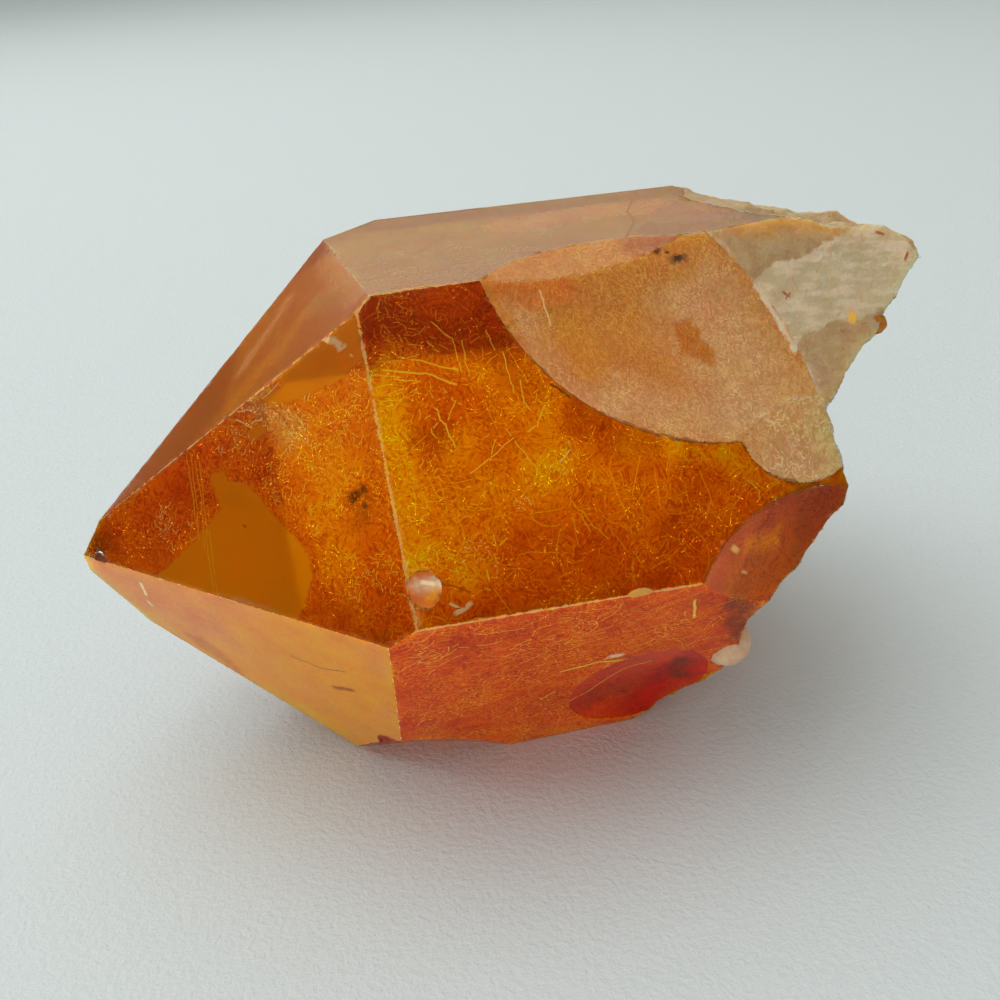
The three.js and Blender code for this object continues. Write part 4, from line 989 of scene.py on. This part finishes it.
def makeStainedSkin(name, finish):
    material, tree = newMaterial(name)
    place = stonePlace(tree)
    stain = times(tree, attribute(tree, "stain"), stainedSkin["lift"])
    mottle = cloud(tree, swayed(tree, place, 0.5, 3.0), 2.6, 2.0, 0.65)
    ragged = cloud(tree, place, 1.3, 3.0, 0.6)
    # smooth places: the films of the point, and whole glassy faces, which are marked by 9
    smooth = attribute(tree, "patch")
    filmHere = sums(tree, "ADD", smooth, sums(tree, "SUBTRACT", ragged, 0.5))
    filmMask = ramp(tree, filmHere, 0.0, 0.05)
    filmRim = sums(tree, "MULTIPLY", filmMask, ramp(tree, filmHere, 0.2, 0.05))
    velvet = sums(tree, "SUBTRACT", 1.0, filmMask)
    dark = times(tree, stain, stainedSkin["mottleTint"])
    mottled = sums(tree, "MULTIPLY", ramp(tree, mottle, 0.58, 0.34), ramp(tree, filmMask, 0, 1, 1.0, 0.25))
    base = blend(tree, mottled, stain, dark)
    hair = sums(tree, "MAXIMUM", lineMask(tree, "hairOne"), lineMask(tree, "hairTwo"))
    hair = sums(tree, "MULTIPLY", hair, velvet)
    bright = blend(tree, 1.0, times(tree, base, (1.6, 2.6, 2.2)), (0.2, 0.24, 0.004), "ADD")
    base = blend(tree, sums(tree, "MULTIPLY", hair, 0.66), base, bright)
    film = sums(tree, "MULTIPLY", filmMask, ramp(tree, smooth, 8.5, 8.6, 1.0, 0.0))
    base = blend(tree, film, base, stainedSkin["filmTint"])
    base = blend(tree, sums(tree, "MULTIPLY", filmRim, 0.4), base, (0.45, 0.09, 0.003))
    # worn edges, made paler in part as a painted highlight of the light caught on the edges, and the dark rims of the
    # breaks
    edgeHere = sums(tree, "SUBTRACT", attribute(tree, "edge"), ramp(tree, ragged, 0.35, 0.7, -0.25, 0.45))
    wornAndLit = ramp(tree, edgeHere, 1.05, 0.45)
    # painted highlight: the pale worn line stands in part for the light the edges catch
    base = blend(tree, sums(tree, "MULTIPLY", wornAndLit, 0.85), base, stainedSkin["wornEdgeAndHighlightTint"])
    rimHere = sums(tree, "SUBTRACT", attribute(tree, "rim"), ramp(tree, ragged, 0.35, 0.7, -0.05, 0.15))
    base = blend(tree, ramp(tree, rimHere, 0.2, 0.08, 0.0, 0.75), base, (0.16, 0.035, 0.002))
    strand = lineMask(tree, "strand")
    base = blend(tree, sums(tree, "MULTIPLY", strand, 0.9), base, attribute(tree, "strandTint"))
    # finish
    rough = sums(tree, "ADD", sums(tree, "MULTIPLY", mottle, 0.14), stainedSkin["roughness"] - 0.05)
    rough = sums(tree, "ADD", rough, sums(tree, "MULTIPLY", hair, 0.12))
    rough = sums(tree, "ADD", rough, sums(tree, "MULTIPLY", wornAndLit, 0.3), clamp=True)
    return finishStone(material, tree, base, rough, None, finish)


# ---- satin fracture of the shoulder, finely crinkled, with the orange stain ----
satinBreak = {
    "roughness": 0.34,
    "lift": (1.4, 1.68, 1.4),
    "paleTint": (0.80, 0.72, 0.45),
    "glow": 1.0,
    "glowDepth": 0.01,
    "glowReach": (1.0, 0.5, 0.25),
    "clear": 0.5,
}


def makeSatinBreak():
    material, tree = newMaterial("satinBreak")
    place = stonePlace(tree)
    stain = times(tree, attribute(tree, "stain"), satinBreak["lift"])
    ragged = cloud(tree, place, 1.1, 3.0, 0.65)
    crinkle = cloud(tree, place, 1.5, 2.0, 0.65, (1, 1, 0.55), (0, 20, 0))
    fibreAndSheen = sums(tree, "MAXIMUM", lineMask(tree, "hairOne"), lineMask(tree, "hairTwo"))
    crease = ramp(tree, sums(tree, "ABSOLUTE", sums(tree, "SUBTRACT", crinkle, 0.5)), 0.0, 0.09, 1.0, 0.0)
    base = blend(tree, ramp(tree, ragged, 0.6, 0.38, 0.2, 0.9), stain, times(tree, stain, (0.88, 0.76, 0.6)))
    base = blend(tree, sums(tree, "MULTIPLY", crease, 0.8), base, times(tree, stain, (0.74, 0.56, 0.4)))
    # pale fine lines: real fibres, made paler in part as painted highlights of the crinkled break
    base = blend(tree, sums(tree, "MULTIPLY", fibreAndSheen, 0.5), base, times(tree, stain, (1.6, 2.1, 3.2)))
    # pale quartz of the root
    patchHere = sums(tree, "ADD", attribute(tree, "patch"), sums(tree, "MULTIPLY", sums(tree, "SUBTRACT", ragged, 0.5), 1.2))
    patchMask = ramp(tree, patchHere, -0.1, 0.25)
    pale = blend(tree, ramp(tree, ragged, 0.35, 0.6), times(tree, base, (1.0, 1.1, 1.1)), satinBreak["paleTint"])
    base = blend(tree, patchMask, base, pale)
    # painted highlight: a pale band just inside the pale root's outline, standing for its raised lip catching the light
    lipHighlight = sums(tree, "MULTIPLY", ramp(tree, patchHere, 0.7, 0.3), patchMask)
    base = blend(tree, sums(tree, "MULTIPLY", lipHighlight, 0.5), base, (0.95, 0.92, 0.75))
    # stain, specks and rims
    rimHere = sums(tree, "SUBTRACT", attribute(tree, "rim"), ramp(tree, ragged, 0.35, 0.7, -0.05, 0.12))
    base = blend(tree, ramp(tree, rimHere, 0.2, 0.08, 0.0, 0.8), base, (0.2, 0.06, 0.006))
    strand = lineMask(tree, "strand")
    base = blend(tree, sums(tree, "MULTIPLY", strand, 0.9), base, attribute(tree, "strandTint"))
    rough = sums(tree, "ADD", sums(tree, "MULTIPLY", ragged, 0.25), satinBreak["roughness"] - 0.12)
    height = sums(tree, "ADD", sums(tree, "MULTIPLY", fibreAndSheen, 0.35), crinkle)
    bump = put(tree, "ShaderNodeBump", Strength=0.7, Distance=0.0004, Height=height).outputs[0]
    return finishStone(material, tree, base, rough, bump, satinBreak)


# ---- rough, stepped breaks of the root and the far end ----
roughBreak = {
    "roughness": 0.5,
    "lift": (1.28, 1.6, 2.0),
    "paleTint": (0.54, 0.44, 0.26),
    "veinTint": (0.68, 0.55, 0.38),
    "glow": 1.0,
    "glowDepth": 0.006,
    "glowReach": (1.0, 0.5, 0.25),
    "clear": 0.3,
}


def makeRoughBreak():
    material, tree = newMaterial("roughBreak")
    place = stonePlace(tree)
    stain = times(tree, attribute(tree, "stain"), roughBreak["lift"])
    ragged = cloud(tree, place, 0.9, 3.0, 0.65)
    streaks = cloud(tree, place, 0.9, 2.0, 0.6, (0.35, 1, 1.2), (10, 15, 20))
    base = blend(tree, ramp(tree, ragged, 0.4, 0.62), times(tree, stain, (0.95, 0.9, 0.82)), times(tree, stain, (1.08, 1.12, 1.2)))
    base = blend(tree, ramp(tree, streaks, 0.62, 0.72, 0.0, 0.5), base, times(tree, stain, (0.8, 0.5, 0.3)))
    patchHere = sums(tree, "ADD", attribute(tree, "patch"), sums(tree, "MULTIPLY", sums(tree, "SUBTRACT", ragged, 0.5), 1.2))
    base = blend(tree, ramp(tree, patchHere, -0.1, 0.25), base, blend(tree, ramp(tree, streaks, 0.4, 0.65), roughBreak["paleTint"], roughBreak["veinTint"]))
    base = blend(tree, sums(tree, "MULTIPLY", lineMask(tree, "strand"), 0.9), base, attribute(tree, "strandTint"))
    rough = sums(tree, "ADD", sums(tree, "MULTIPLY", ragged, 0.3), roughBreak["roughness"] - 0.15)
    height = ragged
    bump = put(tree, "ShaderNodeBump", Strength=0.8, Distance=0.0006, Height=height).outputs[0]
    return finishStone(material, tree, base, rough, bump, roughBreak)


crystal = bpy.data.objects.new("crystalPoint", mesh)
bpy.context.scene.collection.objects.link(crystal)
mesh.materials.append(makeStainedSkin("stainedSkin", stainedSkin))
mesh.materials.append(makeSatinBreak())
mesh.materials.append(makeRoughBreak())
mesh.materials.append(makeStainedSkin("milkySkin", {**stainedSkin, "clear": stainedSkin["milkyClear"], "glint": stainedSkin["milkyGlint"]}))
finishOf = {"growth": 0, "satin": 1, "cream": 2, "hackly": 2}
materialOf = np.array([3 if name in skin["milkyFaces"] else finishOf[surfaceKind[name]] for name in surfaceNames], np.int32)
mesh.polygons.foreach_set("material_index", materialOf[owners])
mesh.polygons.foreach_set("use_smooth", np.ones(len(owners), bool))
mesh.update()
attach(crystal, "root")
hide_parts("quartz_crystal")
print("crystal finished")


# ---- paper, light and camera ----
studio = {
    "paperTint": (0.50, 0.52, 0.515),
    "paperSize": 16.0,
    "boxPlace": (-0.30, 0.36, 0.80),
    "boxSize": (1.4, 1.1),
    "boxAim": (-0.15, 0.25, 0.0),
    "boxPower": 8.5,
    "fillPlace": (-0.45, -0.85, 0.28),
    "fillSize": (0.9, 0.6),
    "fillPower": 4.4,
    "roomBright": (0.72, 0.80, 0.81),
    "roomDark": (0.22, 0.14, 0.04),
    "roomTop": (-0.2, 0.35, 0.92),
    "cameraPlace": (-0.025997, -0.108789, 0.079332),
    "cameraAngles": (62.6021, 3.4296, -14.5268),
    "lens": 41.372,
}


def makePaper():
    bm = bmesh.new()
    bmesh.ops.create_grid(bm, x_segments=1, y_segments=1, size=studio["paperSize"] / 2)
    sheet = bpy.data.meshes.new("paper")
    bm.to_mesh(sheet)
    bm.free()
    paper = bpy.data.objects.new("paper", sheet)
    bpy.context.scene.collection.objects.link(paper)
    material, tree = newMaterial("paperWhite")
    coordinates = put(tree, "ShaderNodeTexCoord").outputs["Object"]
    grain = put(tree, "ShaderNodeTexNoise", Vector=coordinates, Scale=1400.0, Detail=3.0, Roughness=0.6).outputs[0]
    bump = put(tree, "ShaderNodeBump", Strength=0.6, Distance=0.0003, Height=grain).outputs[0]
    surface = put(
        tree, "ShaderNodeBsdfPrincipled", Base_Color=(*studio["paperTint"], 1), Roughness=0.85,
        Normal=bump, Specular_IOR_Level=0.2,
    )
    out = put(tree, "ShaderNodeOutputMaterial")
    tree.links.new(surface.outputs[0], out.inputs[0])
    sheet.materials.append(material)


def makeAreaLight(name, place, power, size, aim=(0, 0, 0)):
    lamp = bpy.data.lights.new(name, "AREA")
    lamp.shape = "RECTANGLE"
    lamp.size, lamp.size_y = size
    lamp.energy = power
    lamp.color = (0.97, 1.0, 1.0)
    holder = bpy.data.objects.new(name, lamp)
    bpy.context.scene.collection.objects.link(holder)
    holder.location = place
    holder.rotation_euler = (Vector(aim) - Vector(place)).to_track_quat("-Z", "Y").to_euler()
    return holder


def makeRoom():
    """A room that is light overhead and behind, and dark in front."""
    world = bpy.data.worlds.new("softRoom")
    world.use_nodes = True
    tree = world.node_tree
    direction = put(tree, "ShaderNodeTexCoord").outputs["Generated"]
    top = Vector(studio["roomTop"]).normalized()
    facing = put(tree, "ShaderNodeVectorMath", {"operation": "DOT_PRODUCT"}, n0=direction, n1=top).outputs["Value"]
    height = put(tree, "ShaderNodeSeparateXYZ", n0=direction).outputs[2]
    share = sums(tree, "MULTIPLY", ramp(tree, facing, 0.2, 0.5), ramp(tree, height, 0.08, 0.35))
    light = blend(tree, share, studio["roomDark"], studio["roomBright"])
    tree.links.new(light, tree.nodes["Background"].inputs[0])
    bpy.context.scene.world = world


makePaper()
makeAreaLight("softbox", studio["boxPlace"], studio["boxPower"], studio["boxSize"], studio["boxAim"])
makeAreaLight("fillLight", studio["fillPlace"], studio["fillPower"], studio["fillSize"])
makeRoom()
bpy.context.scene.view_settings.view_transform = "Standard"
bpy.context.scene.cycles.adaptive_threshold = 0.15  # the clear stone is slow to settle, and the denoiser finishes it

cameraData = bpy.data.cameras.new("camera")
cameraData.sensor_width = 36
cameraData.lens = studio["lens"]
cameraData.clip_start = 0.01
camera = bpy.data.objects.new("camera", cameraData)
bpy.context.scene.collection.objects.link(camera)
camera.location = studio["cameraPlace"]
camera.rotation_euler = tuple(math.radians(a) for a in studio["cameraAngles"])
bpy.context.scene.camera = camera

print("stage set")
